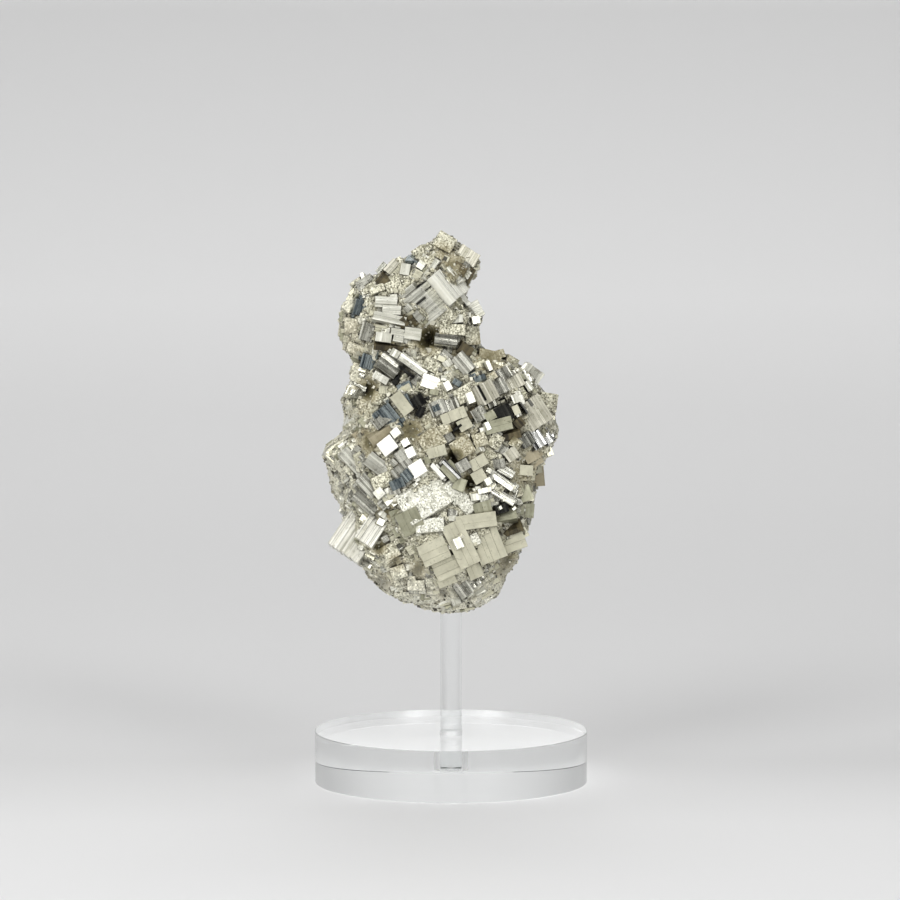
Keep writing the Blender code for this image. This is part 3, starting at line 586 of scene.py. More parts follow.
def make_finishes():
    """Every finish of the stone, by the word that the rows use."""
    return {
        # Faces turned to the light, painted near white as a painted highlight, with thin bright lines
        "bright": growth_face("bright_growth_face", "FDFCF0", "BDBCAC", 0.31, 0.50, 0.9, 0.5, 0.3, 0.10),
        # Mirror faces that catch a softbox: clean white
        "white": growth_face("white_mirror_face", "FBFAF0", "E4E3D6", 0.34, 0.25, 0.5, 0.2, 0.3, 0.04),
        # The pale cube low on the left: cream, with grey growth lines
        "cream": growth_face("cream_lined_face", "FFFDF2", "A3A191", 0.30, 0.35, 1.0, 0.6, 0.15, 0.05),
        # Large smooth plates: pale brass under a satin skin, hardly any lines
        "brassy": growth_face("brassy_satin_face", "DEDBC4", "B5B29C", 0.36, 0.7, 0.15, 0.06, 0.5, 0.01),
        # Lined faces that mirror the pale room: silver grey
        "silver": growth_face("silver_lined_face", "EBEADD", "89887C", 0.28, 0.5, 0.9, 0.7, 0.3, 0.06),
        # Faces built of many courses: light and dark lines side by side
        "grey": growth_face("striated_grey_face", "DCDBCE", "5D5C52", 0.26, 0.75, 1.0, 0.8, 0.3, 0.14),
        # Courses that mirror the room and the softbox by turns: black and white bands
        "banded": growth_face("banded_mirror_face", "FFFFFA", "2A2B2B", 0.20, 0.65, 1.5, 0.8, 0.1, 0.2),
        # Faces painted blue-grey as a painted reflection of the dim room that they mirror
        "slate": growth_face("slate_painted_reflection_face", "98A1A0", "2F393F", 0.24, 0.8, 1.0, 0.8, 0.3, 0.12),
        # Faces that mirror the dim room softly, with many thin lines
        "satin": growth_face("satin_lined_face", "E3E0D0", "9A9784", 0.40, 0.55, 0.8, 0.35, 0.3, 0.05),
        # Lined faces half turned from the light: dark grey
        "gunmetal": growth_face("dim_lined_face", "8A8A80", "2E2E2A", 0.26, 0.75, 1.2, 0.8, 0.3, 0.14),
        # Faces turned away from every light
        "dark": growth_face("dark_side_face", "3E3E39", "0C0C0D", 0.25, 0.8, 1.0, 0.8, 0.3, 0.12),
        # Waxy greenish-grey faces with soft edges
        "olive": growth_face("olive_smooth_face", "B9B8A0", "807F69", 0.40, 0.55, 0.4, 0.2, 0.5, 0.03),
        # Dull beige-brown faces along the right edge
        "tan": growth_face("tan_dull_face", "B5AC92", "857C63", 0.45, 0.35, 0.3, 0.3, 0.6, 0.02),
        # Brown iron film in the hollows, painted dark for the shade there as well
        "brown": growth_face("brown_film_and_hollow_shade", "6F6548", "2A2416", 0.45, 0.3, 0.8, 0.6, 0.6, 0.05),
        # Crust of tiny grains between the crystals
        "crust": granular_crust("granular_crust", "E4E1CC", "B1AE97", "5E5B4A", 0.46, 0.30),
        # The same crust where the grains are coarser and whiter
        "white crust": granular_crust("white_granular_crust", "F0EFE2", "CFCEBE", "8C8B7D", 0.42, 0.30),
    }


# The heart and the blocks on it, as in the solids

def between_levels(height):
    """Left, right, front and back of the heart at a height, by a smooth curve through the levels."""
    rows = [[value * MM for value in level] for level in LEVELS]
    index = max(i for i, row in enumerate(rows[:-1]) if height >= row[0] or i == 0)
    before = rows[max(index - 1, 0)]
    low, high = rows[index], rows[index + 1]
    after = rows[min(index + 2, len(rows) - 1)]
    share = min(max((height - low[0]) / (high[0] - low[0]), 0), 1)
    result = []
    for side in range(1, 5):
        p0, p1, p2, p3 = before[side], low[side], high[side], after[side]
        bend = 2 * p0 - 5 * p1 + 4 * p2 - p3
        twist = 3 * (p1 - p2) + p3 - p0
        result.append(p1 + 0.5 * share * (p2 - p0 + share * (bend + share * twist)))
    return result


def heart_point(turn, height):
    """A point on the lumpy heart, and the way that it faces."""
    left, right, front, back = between_levels(height)
    across, deep = math.cos(turn), math.sin(turn)
    power = 2 / HEART_SQUARENESS
    spread = Vector((
        math.copysign(abs(across) ** power, across) * (right - left) / 2,
        math.copysign(abs(deep) ** power, deep) * (back - front) / 2,
        0,
    ))
    place = Vector(((left + right) / 2, (front + back) / 2, height)) + spread
    lump = noise.noise(place / LUMP_SIZE) * LUMP_HEIGHT
    nearest, second = noise.voronoi(place / KNOB_SIZE)[0][:2]
    knob = (second - nearest - 0.35) * KNOB_HEIGHT
    outward = spread.normalized()
    return place + outward * (lump + knob), outward


def pit_push(place):
    """How a point near a cavity moves, away from the eye."""
    sight = (place - EYE).normalized()
    push = Vector((0, 0, 0))
    for across, up, radius, depth in PITS:
        middle = (Vector((across, 0, up)) * MM - EYE).normalized()
        aside = (place - EYE).cross(middle).length / (radius * MM)
        if aside < 1 and place.y < 0:
            push += sight * depth * MM * (1 - aside * aside) ** 2
    return push


def heart_rings(mesh):
    """Rings of vertices up the heart, each vertex shifted a little so that no course of facets shows."""
    bottom, top = LEVELS[0][0] * MM, LEVELS[-1][0] * MM
    chance = random.Random(HEART_SEED)
    rings = []
    for ring in range(HEART_RINGS + 1):
        play = HEART_JITTER if 0 < ring < HEART_RINGS else 0
        loop = []
        for side in range(HEART_SIDES):
            share = (ring + chance.uniform(-play, play)) / HEART_RINGS
            step = side + 0.5 * (ring % 2) + chance.uniform(-play, play)
            place = heart_point(2 * math.pi * step / HEART_SIDES, bottom + (top - bottom) * share)[0]
            loop.append(mesh.verts.new(place + pit_push(place)))
        rings.append(loop)
    return rings


def close_ends(mesh, rings):
    for loop, rise in ((rings[0], -0.5 * MM), (rings[-1], 1.5 * MM)):
        middle = sum((v.co for v in loop), Vector()) / len(loop)
        pole = mesh.verts.new(middle + Vector((0, 0, rise)))
        for side in range(len(loop)):
            mesh.faces.new((loop[side], loop[(side + 1) % len(loop)], pole))
    bmesh.ops.recalc_face_normals(mesh, faces=mesh.faces)


def build_heart():
    """The faceted heart that the blocks are set on."""
    mesh = bmesh.new()
    rings = heart_rings(mesh)
    for number, (lower, upper) in enumerate(zip(rings, rings[1:])):
        for side in range(HEART_SIDES):
            after = (side + 1) % HEART_SIDES
            a, b, c, d = lower[side], lower[after], upper[after], upper[side]
            halves = ((a, b, c), (a, c, d)) if number % 2 else ((a, b, d), (b, c, d))
            for half in halves:
                mesh.faces.new(half)
    close_ends(mesh, rings)
    return mesh


def facing(toward, roll, swing, tilt):
    """Axes of a block whose face looks towards the eye, then turned by its three angles."""
    right = Vector((0, 0, 1)).cross(toward).normalized()
    up = toward.cross(right)
    view = Matrix((right, up, toward)).transposed()
    rolled = Matrix.Rotation(math.radians(roll), 3, "Z")
    swung = Matrix.Rotation(math.radians(swing), 3, "Y")
    tilted = Matrix.Rotation(math.radians(-tilt), 3, "X")
    return view @ rolled @ swung @ tilted


def front_block(surface, row):
    """Centre, axes and size of a crystal on the front, from its row."""
    across, up, width, height, roll, swing, tilt, proud = row[:8]
    target = Vector((across, 0, up)) * MM
    sight = (target - EYE).normalized()
    hit = surface.ray_cast(EYE, sight)[0]
    if hit is None:
        near = surface.find_nearest(target)[0]
        hit = EYE + sight * (near - EYE).dot(sight)
    axes = facing(-sight, roll, swing, tilt)
    size = Vector((width * MM, height * MM, proud * MM + ROOT_DEPTH))
    reach = sum(abs(axes.col[i].dot(sight)) * size[i] / 2 for i in range(3))
    return hit - sight * (proud * MM - reach), axes, size


def inside_outline(centre, axes, size):
    """Whether no corner of a block sticks out past the outline of the levels."""
    bottom, top = LEVELS[0][0] * MM, LEVELS[-1][0] * MM
    for across in (-0.5, 0.5):
        for along in (-0.5, 0.5):
            for deep in (-0.5, 0.5):
                corner = centre + axes @ Vector((across * size.x, along * size.y, deep * size.z))
                left, right = between_levels(corner.z)[:2]
                if not left - OUTLINE_PLAY < corner.x < right + OUTLINE_PLAY:
                    return False
                if not bottom < corner.z < top:
                    return False
    return True


def hidden_blocks(heart, surface):
    """Seeded families of crystals over the faces of the heart that the eye doesn't see."""
    chance = random.Random(HIDDEN_SEED)
    faces = [f for f in heart.faces if f.calc_center_median().y > FRONT_LIMIT]
    weights = [f.calc_area() for f in faces]
    anchors = []
    blocks = []
    for _ in range(HIDDEN_TRIES):
        if len(anchors) == FAMILY_COUNT:
            break
        face = chance.choices(faces, weights)[0]
        anchor = face.calc_center_median()
        if any((anchor - other).length < FAMILY_SPACING for other in anchors):
            continue
        anchors.append(anchor)
        axes = facing(face.normal, chance.uniform(-45, 45), chance.uniform(-20, 20), chance.uniform(-20, 20))
        for member in range(chance.randint(*FAMILY_MEMBERS)):
            reach = FAMILY_SPREAD * min(member, 1)
            turn = chance.uniform(0, 2 * math.pi)
            aside = anchor + axes @ Vector((math.cos(turn), math.sin(turn), 0)) * reach
            near, normal = surface.find_nearest(aside)[:2]
            span = chance.uniform(*FAMILY_SIZES) * (0.75 if member else 1) * MM
            size = Vector((span, span * chance.uniform(0.6, 1.0), span * chance.uniform(0.6, 0.9)))
            for sunk in HIDDEN_SINKS:
                centre = near - normal * size.z * sunk
                if inside_outline(centre, axes, size):
                    blocks.append((centre, axes, size))
                    break
    return blocks


# Dressing a block as a crystal

def bevelled_box():
    """Corners and faces of a box with cut edges: each corner has one vertex on each of its three sides."""
    corners = [(x, y, z) for x in (-1, 1) for y in (-1, 1) for z in (-1, 1)]
    spots = [(corner, side) for corner in corners for side in range(3)]
    loops = []
    for side in range(3):
        for sign in (-1, 1):
            loops.append([i for i, (c, s) in enumerate(spots) if s == side and c[side] == sign])
    for along in range(3):
        for corner in corners:
            ends = [i for i, (c, s) in enumerate(spots) if s != along and all(
                c[k] == corner[k] for k in range(3) if k != along)]
            if corner[along] == 1:
                loops.append(ends)
    for corner in corners:
        loops.append([i for i, (c, s) in enumerate(spots) if c == corner])
    faces = []
    for loop in loops:
        places = [Vector([c[k] * (1 if k == s else 0.8) for k in range(3)]) for c, s in (spots[i] for i in loop)]
        middle = sum(places, Vector()) / len(places)
        first = (places[0] - middle).normalized()
        second = middle.normalized().cross(first)
        order = sorted(
            range(len(loop)),
            key=lambda n: math.atan2((places[n] - middle).dot(second), (places[n] - middle).dot(first)),
        )
        reach = [abs(c) for c in middle]
        faces.append(([loop[n] for n in order], reach.index(max(reach))))
    return spots, faces


BOX_SPOTS, BOX_FACES = bevelled_box()


def plain_mesh(name, places, faces, finishes, indices):
    """An object with a mesh from lists of places and faces, its finishes by face."""
    data = bpy.data.meshes.new(name)
    data.from_pydata(places, [], faces)
    for finish in finishes:
        data.materials.append(finish)
    data.polygons.foreach_set("material_index", indices)
    data.update()
    piece = bpy.data.objects.new(name, data)
    bpy.context.scene.collection.objects.link(piece)
    return piece


class CrystalMesh:
    """Gathers crystals in one mesh, with growth-line coordinates and a random number for each crystal."""

    def __init__(self, name, finishes):
        self.name = name
        self.finishes = finishes
        self.words = list(finishes)
        self.places = []
        self.faces = []
        self.indices = []
        self.numbers = []
        self.growth = []

    def add_course(self, axes, centre, low, high, line_axis, number, finish):
        """One slab of a crystal, between two corners in the crystal's own axes."""
        middle, half = (high + low) / 2, (high - low) / 2
        cut = min(EDGE_BEVEL, min(half) / 3)
        start = len(self.places)
        local = []
        for corner, side in BOX_SPOTS:
            inset = Vector([half[k] - (0 if k == side else cut) for k in range(3)])
            local.append(middle + Vector([corner[k] * inset[k] for k in range(3)]))
        self.places += [centre + axes @ place for place in local]
        for loop, side in BOX_FACES:
            lines = line_axis if side != line_axis else 2
            across = 3 - lines - side
            self.faces.append([start + i for i in loop])
            self.indices.append(self.words.index(finish))
            self.numbers.append(number)
            for i in loop:
                self.growth += (local[i][across] / MM, local[i][lines] / MM)

    def add_crystal(self, block, finish, lines, chance):
        """A crystal built of courses side by side, each a little lower or shorter than its neighbour."""
        centre, axes, size = block
        line_axis = 0 if lines in ("x", "X") else 1
        cross_axis = 1 - line_axis
        course, step = FINE_COURSES if lines.islower() else WIDE_COURSES if lines else PLAIN_COURSES
        count = max(1, round(size[cross_axis] / course))
        cuts = [-0.5] + [(i + chance.uniform(-0.3, 0.3)) / count - 0.5 for i in range(1, count)] + [0.5]
        number = chance.random()
        drop = chance.uniform(0, step)
        for start, end in zip(cuts, cuts[1:]):
            drop = min(max(drop + chance.uniform(-1, 1) * step, 0), step * 2)
            low, high = -size / 2, size / 2
            low[cross_axis] = start * size[cross_axis]
            high[cross_axis] = end * size[cross_axis]
            low[line_axis] += chance.uniform(0, step)
            high[line_axis] -= chance.uniform(0, step)
            high.z -= drop
            self.add_course(axes, centre, low, high, line_axis, number, finish)

    def finished(self):
        """The joined mesh as an object."""
        finishes = [self.finishes[word] for word in self.words]
        piece = plain_mesh(self.name, self.places, self.faces, finishes, self.indices)
        piece.data.uv_layers.new(name="growth").data.foreach_set("uv", self.growth)
        piece.data.attributes.new("crystal", "FLOAT", "FACE").data.foreach_set("value", self.numbers)
        return piece


# The crust

def crust_offset(place):
    """How far the crust stands out at a point: clods of grains with grit on them."""
    clod = noise.voronoi(place / CLOD_SIZE, distance_metric="CHEBYCHEV")[0]
    grit = noise.voronoi(place / GRIT_SIZE, distance_metric="CHEBYCHEV")[0]
    return (0.5 - clod[0]) * CLOD_HEIGHT + (0.5 - grit[0]) * GRIT_HEIGHT


def ground_rise(place, tops):
    """How far the ground between the crystals rises at a point, from how proud its neighbours stand."""
    total, weight = 0, 0
    for _, index, distance in tops.find_range(place, GROUND_REACH * 2):
        near = math.exp(-(distance / GROUND_REACH) ** 2)
        total += near * max(FRONT_CRYSTALS[index][7] * MM - GROUND_DROP, 0)
        weight += near
    return total / max(weight, 1)


def film_and_shade_at(place):
    """How much ochre iron stain, and painted shade in the cavities, lies on the crust at a point."""
    if place.y > 0:
        return 0
    film_and_shade = 0
    for across, up, radius, depth in FILM_AND_HOLLOW_SHADE:
        middle = (Vector((across, 0, up)) * MM - EYE).normalized()
        aside = (place - EYE).cross(middle).length / (radius * MM)
        film_and_shade = max(film_and_shade, depth * max(0, 1.3 - aside) / 1.3)
    return film_and_shade


def box_grid(cuts):
    """A cube from -1 to 1 with its sides cut into squares, as places and faces that share their corners."""
    known, places, faces = {}, [], []
    for side in range(3):
        for sign in (0, cuts):
            for i in range(cuts):
                for j in range(cuts):
                    loop = []
                    for a, b in ((i, j), (i + 1, j), (i + 1, j + 1), (i, j + 1)):
                        spot = [0, 0, 0]
                        spot[side], spot[(side + 1) % 3], spot[(side + 2) % 3] = sign, a, b
                        if tuple(spot) not in known:
                            known[tuple(spot)] = len(places)
                            places.append(Vector([c * 2 / cuts - 1 for c in spot]))
                        loop.append(known[tuple(spot)])
                    faces.append(loop if sign else loop[::-1])
    return places, faces


def build_crusted(name, blocks, finishes):
    """Crusted crystals: blocks cut fine enough for grains, with worn corners."""
    places, faces, indices = [], [], []
    for (centre, axes, size), finish in blocks:
        unit, squares = box_grid(max(3, min(round(max(size) / CRUSTED_GRAIN), 14)))
        start = len(places)
        for spot in unit:
            worn = Vector([c * (1 - 0.06 * max(abs(spot[(i + 1) % 3]), abs(spot[(i + 2) % 3])) ** 4)
                           for i, c in enumerate(spot)])
            place = centre + axes @ Vector([worn[k] * size[k] / 2 for k in range(3)])
            outward = (axes @ Vector([c ** 5 for c in spot])).normalized()
            places.append(place + outward * crust_offset(place) * CRUSTED_RELIEF)
        faces += [[start + i for i in square] for square in squares]
        indices += [int(finish == "white crust")] * len(squares)
    piece = plain_mesh(name, places, faces, (finishes["crust"], finishes["white crust"]), indices)
    piece.data.attributes.new("film_and_shade", "FLOAT", "POINT").data.foreach_set("value", [film_and_shade_at(p) for p in places])
    return piece


def build_crust(tops, finishes):
    """The crust over the whole heart, higher round the crystals of the front."""
    bottom, top = LEVELS[0][0] * MM, LEVELS[-1][0] * MM
    places, faces = [], []
    for ring in range(CRUST_RINGS + 1):
        for side in range(CRUST_SIDES):
            turn = 2 * math.pi * side / CRUST_SIDES
            place, outward = heart_point(turn, bottom + (top - bottom) * ring / CRUST_RINGS)
            rise = ground_rise(place, tops) if place.y < 0 else 0
            places.append(place + outward * (crust_offset(place) + rise) + pit_push(place))
    for ring in range(CRUST_RINGS):
        for side in range(CRUST_SIDES):
            after = (side + 1) % CRUST_SIDES
            low, high = ring * CRUST_SIDES, (ring + 1) * CRUST_SIDES
            faces.append((low + side, low + after, high + after, high + side))
    for ring, rise in ((0, -0.5 * MM), (CRUST_RINGS, 1.5 * MM)):
        loop = [ring * CRUST_SIDES + side for side in range(CRUST_SIDES)]
        middle = sum((places[i] for i in loop), Vector()) / CRUST_SIDES
        places.append(middle + Vector((0, 0, rise)))
        for i, j in zip(loop, loop[1:] + loop[:1]):
            faces.append((i, j, len(places) - 1) if ring else (j, i, len(places) - 1))
    piece = plain_mesh("pyrite_crust", places, faces, (finishes["crust"],), [0] * len(faces))
    piece.data.attributes.new("film_and_shade", "FLOAT", "POINT").data.foreach_set("value", [film_and_shade_at(p) for p in places])
    return piece


def fill_blocks(crust, blocks):
    """Small crystals in the gaps: each takes its axes, nearly, from the crystal that it grew beside."""
    chance = random.Random(FILL_SEED)
    polygons = crust.data.polygons
    tops = KDTree(len(blocks))
    for index, block in enumerate(blocks):
        tops.insert(block[0], index)
    tops.balance()
    fills = []
    weights = [p.area for p in polygons]
    for polygon in chance.choices(polygons, weights, k=FILL_TRIES):
        place = polygon.center
        near = [blocks[index] for _, index, _ in tops.find_n(place, 6)]
        apart = []
        for centre, axes, size, _ in near:
            local = axes.transposed() @ (place - centre)
            apart.append(max(abs(local[k]) - size[k] / 2 for k in range(3)))
        if min(apart) < -0.3 * MM or min(apart) > 5 * MM:
            continue
        if film_and_shade_at(place) > 0.35 or pit_push(place).length > 0.2 * MM:
            continue
        chosen = apart.index(min(apart))
        axes = near[chosen][1]
        wobble = [math.radians(chance.uniform(-FILL_TURN, FILL_TURN)) for _ in range(3)]
        turned = axes @ Euler(wobble).to_matrix()
        span = min(chance.uniform(*FILL_SIZES) * MM, 2.2 * (min(apart) + 0.9 * MM))
        size = Vector((span, span * chance.uniform(0.6, 1.2), span * chance.uniform(0.8, 1.3)))
        facing_side = turned.transposed() @ polygon.normal
        reach = sum(abs(facing_side[k]) * size[k] / 2 for k in range(3))
        rise = chance.uniform(*FILL_RISE) * MM
        centre = place + polygon.normal * (rise - reach)
        if inside_outline(centre, turned, size):
            fills.append(((centre, turned, size), near[chosen][3]))
    return fills


# Tiny cubes grown over the crust

def druse_tree(name, surfaces):
    """Nodes that scatter cubes over a mesh: inputs for how many, how large and how much they lean."""
    tree = bpy.data.node_groups.new(name, "GeometryNodeTree")
    face = tree.interface
    face.new_socket("Geometry", in_out="INPUT", socket_type="NodeSocketGeometry")
    for label, kind in (
        ("Cubes per square metre", "NodeSocketFloat"),
        ("Smallest", "NodeSocketFloat"),
        ("Largest", "NodeSocketFloat"),
        ("Lean", "NodeSocketFloat"),
        ("Seed", "NodeSocketInt"),
    ):
        face.new_socket(label, in_out="INPUT", socket_type=kind)
    face.new_socket("Geometry", in_out="OUTPUT", socket_type="NodeSocketGeometry")
    asked = add_node(tree, "NodeGroupInput").outputs
    film_and_shade = add_node(tree, "GeometryNodeInputNamedAttribute", {"data_type": "FLOAT"}, Name="film_and_shade").outputs[0]
    bare = add_node(
        tree, "ShaderNodeMath", {"operation": "SUBTRACT", "use_clamp": True}, n0=1.0, n1=film_and_shade,
    ).outputs[0]
    thick = add_node(
        tree, "ShaderNodeMath", {"operation": "MULTIPLY"}, n0=asked["Cubes per square metre"], n1=bare,
    ).outputs[0]
    points = add_node(
        tree, "GeometryNodeDistributePointsOnFaces", Mesh=asked["Geometry"], Density=thick, Seed=asked["Seed"],
    )
    upright = add_node(
        tree, "FunctionNodeAlignRotationToVector", {"axis": "Z"}, Vector=points.outputs["Normal"],
    ).outputs[0]
    least = add_node(tree, "ShaderNodeMath", {"operation": "MULTIPLY"}, n0=asked["Lean"], n1=-1.0).outputs[0]
    low = add_node(tree, "ShaderNodeCombineXYZ", X=least, Y=least, Z=0.0).outputs[0]
    high = add_node(tree, "ShaderNodeCombineXYZ", X=asked["Lean"], Y=asked["Lean"], Z=1.6).outputs[0]
    lean = add_node(
        tree, "FunctionNodeRandomValue", {"data_type": "FLOAT_VECTOR"}, n0=low, n1=high, Seed=asked["Seed"],
    ).outputs[0]
    turned = add_node(
        tree, "FunctionNodeRotateRotation", {"rotation_space": "LOCAL"}, Rotation=upright, Rotate_By=lean,
    ).outputs[0]
    draw = add_node(tree, "FunctionNodeRandomValue", {"data_type": "FLOAT"}, Seed=asked["Seed"]).outputs[1]
    small = add_node(tree, "ShaderNodeMath", {"operation": "POWER"}, n0=draw, n1=2.2).outputs[0]
    span = add_node(tree, "ShaderNodeMapRange", Value=small, To_Min=asked["Smallest"], To_Max=asked["Largest"])
    shape_low = (0.75, 0.75, 0.6)
    shape = add_node(tree, "FunctionNodeRandomValue", {"data_type": "FLOAT_VECTOR"}, n0=shape_low, n1=(1.2, 1.2, 1.1))
    scale = add_node(
        tree, "ShaderNodeVectorMath", {"operation": "SCALE"}, n0=shape.outputs[0], Scale=span.outputs[0],
    ).outputs[0]
    cube = add_node(tree, "GeometryNodeMeshCube").outputs["Mesh"]
    grown = add_node(
        tree, "GeometryNodeInstanceOnPoints",
        Points=points.outputs["Points"], Instance=cube, Rotation=turned, Scale=scale,
    ).outputs[0]
    tone = add_node(tree, "FunctionNodeRandomValue", {"data_type": "FLOAT"}).outputs[1]
    toned = add_node(
        tree, "GeometryNodeStoreNamedAttribute", {"data_type": "FLOAT", "domain": "INSTANCE"},
        Geometry=grown, Name="tone", Value=tone,
    ).outputs[0]
    real = add_node(tree, "GeometryNodeRealizeInstances", Geometry=toned).outputs[0]
    value = add_node(tree, "GeometryNodeInputNamedAttribute", {"data_type": "FLOAT"}, Name="tone").outputs[0]
    for surface, above in surfaces:
        chosen = add_node(tree, "FunctionNodeCompare", {"operation": "GREATER_THAN"}, n0=value, n1=above).outputs[0]
        real = add_node(
            tree, "GeometryNodeSetMaterial", Geometry=real, Selection=chosen, Material=surface,
        ).outputs[0]
    add_node(tree, "NodeGroupOutput", Geometry=real)
    return tree


def grow_druse(name, ground, tree, count, smallest, largest, lean, seed):
    """A plain mesh of the cubes that the tree scatters over the ground's mesh."""
    carrier = bpy.data.objects.new(name, ground.data.copy())
    bpy.context.scene.collection.objects.link(carrier)
    area = sum(p.area for p in ground.data.polygons)
    growth = carrier.modifiers.new("druse", "NODES")
    growth.node_group = tree
    values = {
        "Cubes per square metre": count / area,
        "Smallest": smallest,
        "Largest": largest,
        "Lean": lean,
        "Seed": seed,
    }
    for item in tree.interface.items_tree:
        if item.in_out == "INPUT" and item.name in values:
            growth[item.identifier] = values[item.name]
    bpy.context.view_layer.update()
    evaluated = carrier.evaluated_get(bpy.context.evaluated_depsgraph_get())
    carrier.data = bpy.data.meshes.new_from_object(evaluated)
    carrier.modifiers.clear()
    return carrier


# Acrylic stand

def clear_acrylic():
    """Cast acrylic, polished all over: clear as glass with a lower index, its edges gather light."""
    made, tree, shader = new_material("cast_clear_acrylic")
    shader.inputs["Base Color"].default_value = linear("FDFEFE")
    shader.inputs["Roughness"].default_value = 0.0
    shader.inputs["IOR"].default_value = 1.49
    shader.inputs["Transmission Weight"].default_value = 1.0
    # A long way through the sheet takes a little light, least from the green
    depth = add_node(tree, "ShaderNodeVolumeAbsorption", Color=linear("EAEBEB"), Density=3.0)
    tree.links.new(depth.outputs[0], tree.nodes["Material Output"].inputs["Volume"])
    return made


def turned_piece(name, outline, finish):
    """A closed body turned round the Z axis from (radius, height) points."""
    mesh = bmesh.new()
    corners = [mesh.verts.new((x, 0, z)) for x, z in outline]
    edges = [mesh.edges.new(pair) for pair in zip(corners, corners[1:])]
    bmesh.ops.spin(
        mesh, geom=edges + corners, axis=(0, 0, 1), cent=(0, 0, 0), steps=TURNED_SIDES, angle=2 * math.pi,
    )
    bmesh.ops.remove_doubles(mesh, verts=mesh.verts, dist=0.005 * MM)
    bmesh.ops.recalc_face_normals(mesh, faces=mesh.faces)
    for face in mesh.faces:
        face.smooth = True
    for edge in mesh.edges:
        edge.smooth = edge.calc_face_angle(0) < math.radians(25)
    data = bpy.data.meshes.new(name)
    mesh.to_mesh(data)
    mesh.free()
    data.materials.append(finish)
    piece = bpy.data.objects.new(name, data)
    bpy.context.scene.collection.objects.link(piece)
    return piece


def build_stand():
    acrylic = clear_acrylic()
    disc = turned_piece("acrylic_disc", [
        (0, 0),
        (DISC_RADIUS - DISC_EDGE, 0),
        (DISC_RADIUS, DISC_EDGE),
        (DISC_RADIUS, DISC_THICKNESS - DISC_EDGE),
        (DISC_RADIUS - DISC_EDGE, DISC_THICKNESS),
        (SOCKET_RADIUS, DISC_THICKNESS),
        (SOCKET_RADIUS, SOCKET_FLOOR),
        (0, SOCKET_FLOOR),
    ], acrylic)
    rod = turned_piece("acrylic_bar", [
        (0, ROD_FOOT),
        (ROD_RADIUS - ROD_EDGE, ROD_FOOT),
        (ROD_RADIUS, ROD_FOOT + ROD_EDGE),
        (ROD_RADIUS, ROD_TOP - ROD_EDGE),
        (ROD_RADIUS - ROD_EDGE, ROD_TOP),
        (0, ROD_TOP),
    ], acrylic)
    for piece, node in ((disc, "acrylic_base"), (rod, "acrylic_rod")):
        # The lamps' light passes through clear acrylic to the floor under it
        piece.visible_shadow = False
        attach(piece, "root")
        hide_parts(node)


# The stone

def build_stone():
    finishes = make_finishes()
    heart = build_heart()
    surface = BVHTree.FromBMesh(heart)
    chance = random.Random(BLOCK_SEED)
    front = CrystalMesh("pyrite_front_crystals", finishes)
    crusted = []
    blocks = []
    tops = KDTree(len(FRONT_CRYSTALS))
    for row in FRONT_CRYSTALS + SMALL_CRYSTALS:
        block = front_block(surface, row)
        blocks.append((*block, row[8]))
        if len(blocks) <= len(FRONT_CRYSTALS):
            tops.insert(block[0], len(blocks) - 1)
        finish, lines = row[8:]
        if "crust" in finish:
            crusted.append((block, finish))
        else:
            front.add_crystal(block, finish, lines, chance)
    back = CrystalMesh("pyrite_back_crystals", finishes)
    tops.balance()
    for block in hidden_blocks(heart, surface):
        finish = chance.choice(HIDDEN_FINISHES)
        blocks.append((*block, finish))
        if finish == "crust":
            crusted.append((block, finish))
        else:
            back.add_crystal(block, finish, chance.choice(("x", "y", "")), chance)
    heart.free()
    crust = build_crust(tops, finishes)
    fills = CrystalMesh("pyrite_small_crystals", finishes)
    small_crusted = []
    for block, beside in fill_blocks(crust, blocks):
        finish = beside if chance.random() < 0.3 else chance.choice(FILL_FINISHES)
        if finish == "bright" and abs(block[0].x) > FLANK:
            finish = "olive"
        if "crust" in finish:
            small_crusted.append((block, finish))
        else:
            fills.add_crystal(block, finish, chance.choice(("x", "y", "")), chance)
    pieces = [crust, front.finished(), back.finished(), fills.finished()]
    pieces.append(build_crusted("pyrite_crusted", crusted, finishes))
    pieces.append(build_crusted("pyrite_small_crusted", small_crusted, finishes))
    pale = druse_face("druse_pale_cube", "EAE7D5", "C4C1AE", 0.42, 0.35)
    dusky = druse_face("druse_dusky_cube", "BDB9A6", "7E7B69", 0.42, 0.35)
    shadowed = druse_face("druse_shadow_cube", "7A7768", "4C4A40", 0.42, 0.35)
    tree = druse_tree("druse", ((shadowed, -1.0), (dusky, 0.12), (pale, 0.6)))
    pieces.append(grow_druse("pyrite_grains", crust, tree, 9000, 0.3 * MM, 0.75 * MM, 0.8, 5))
    pieces.append(grow_druse("pyrite_small_cubes", crust, tree, 2200, 0.7 * MM, 1.7 * MM, 0.6, 8))
    for piece in pieces:
        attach(piece, "root")
        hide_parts("pyrite_cluster")


# Set, light and camera

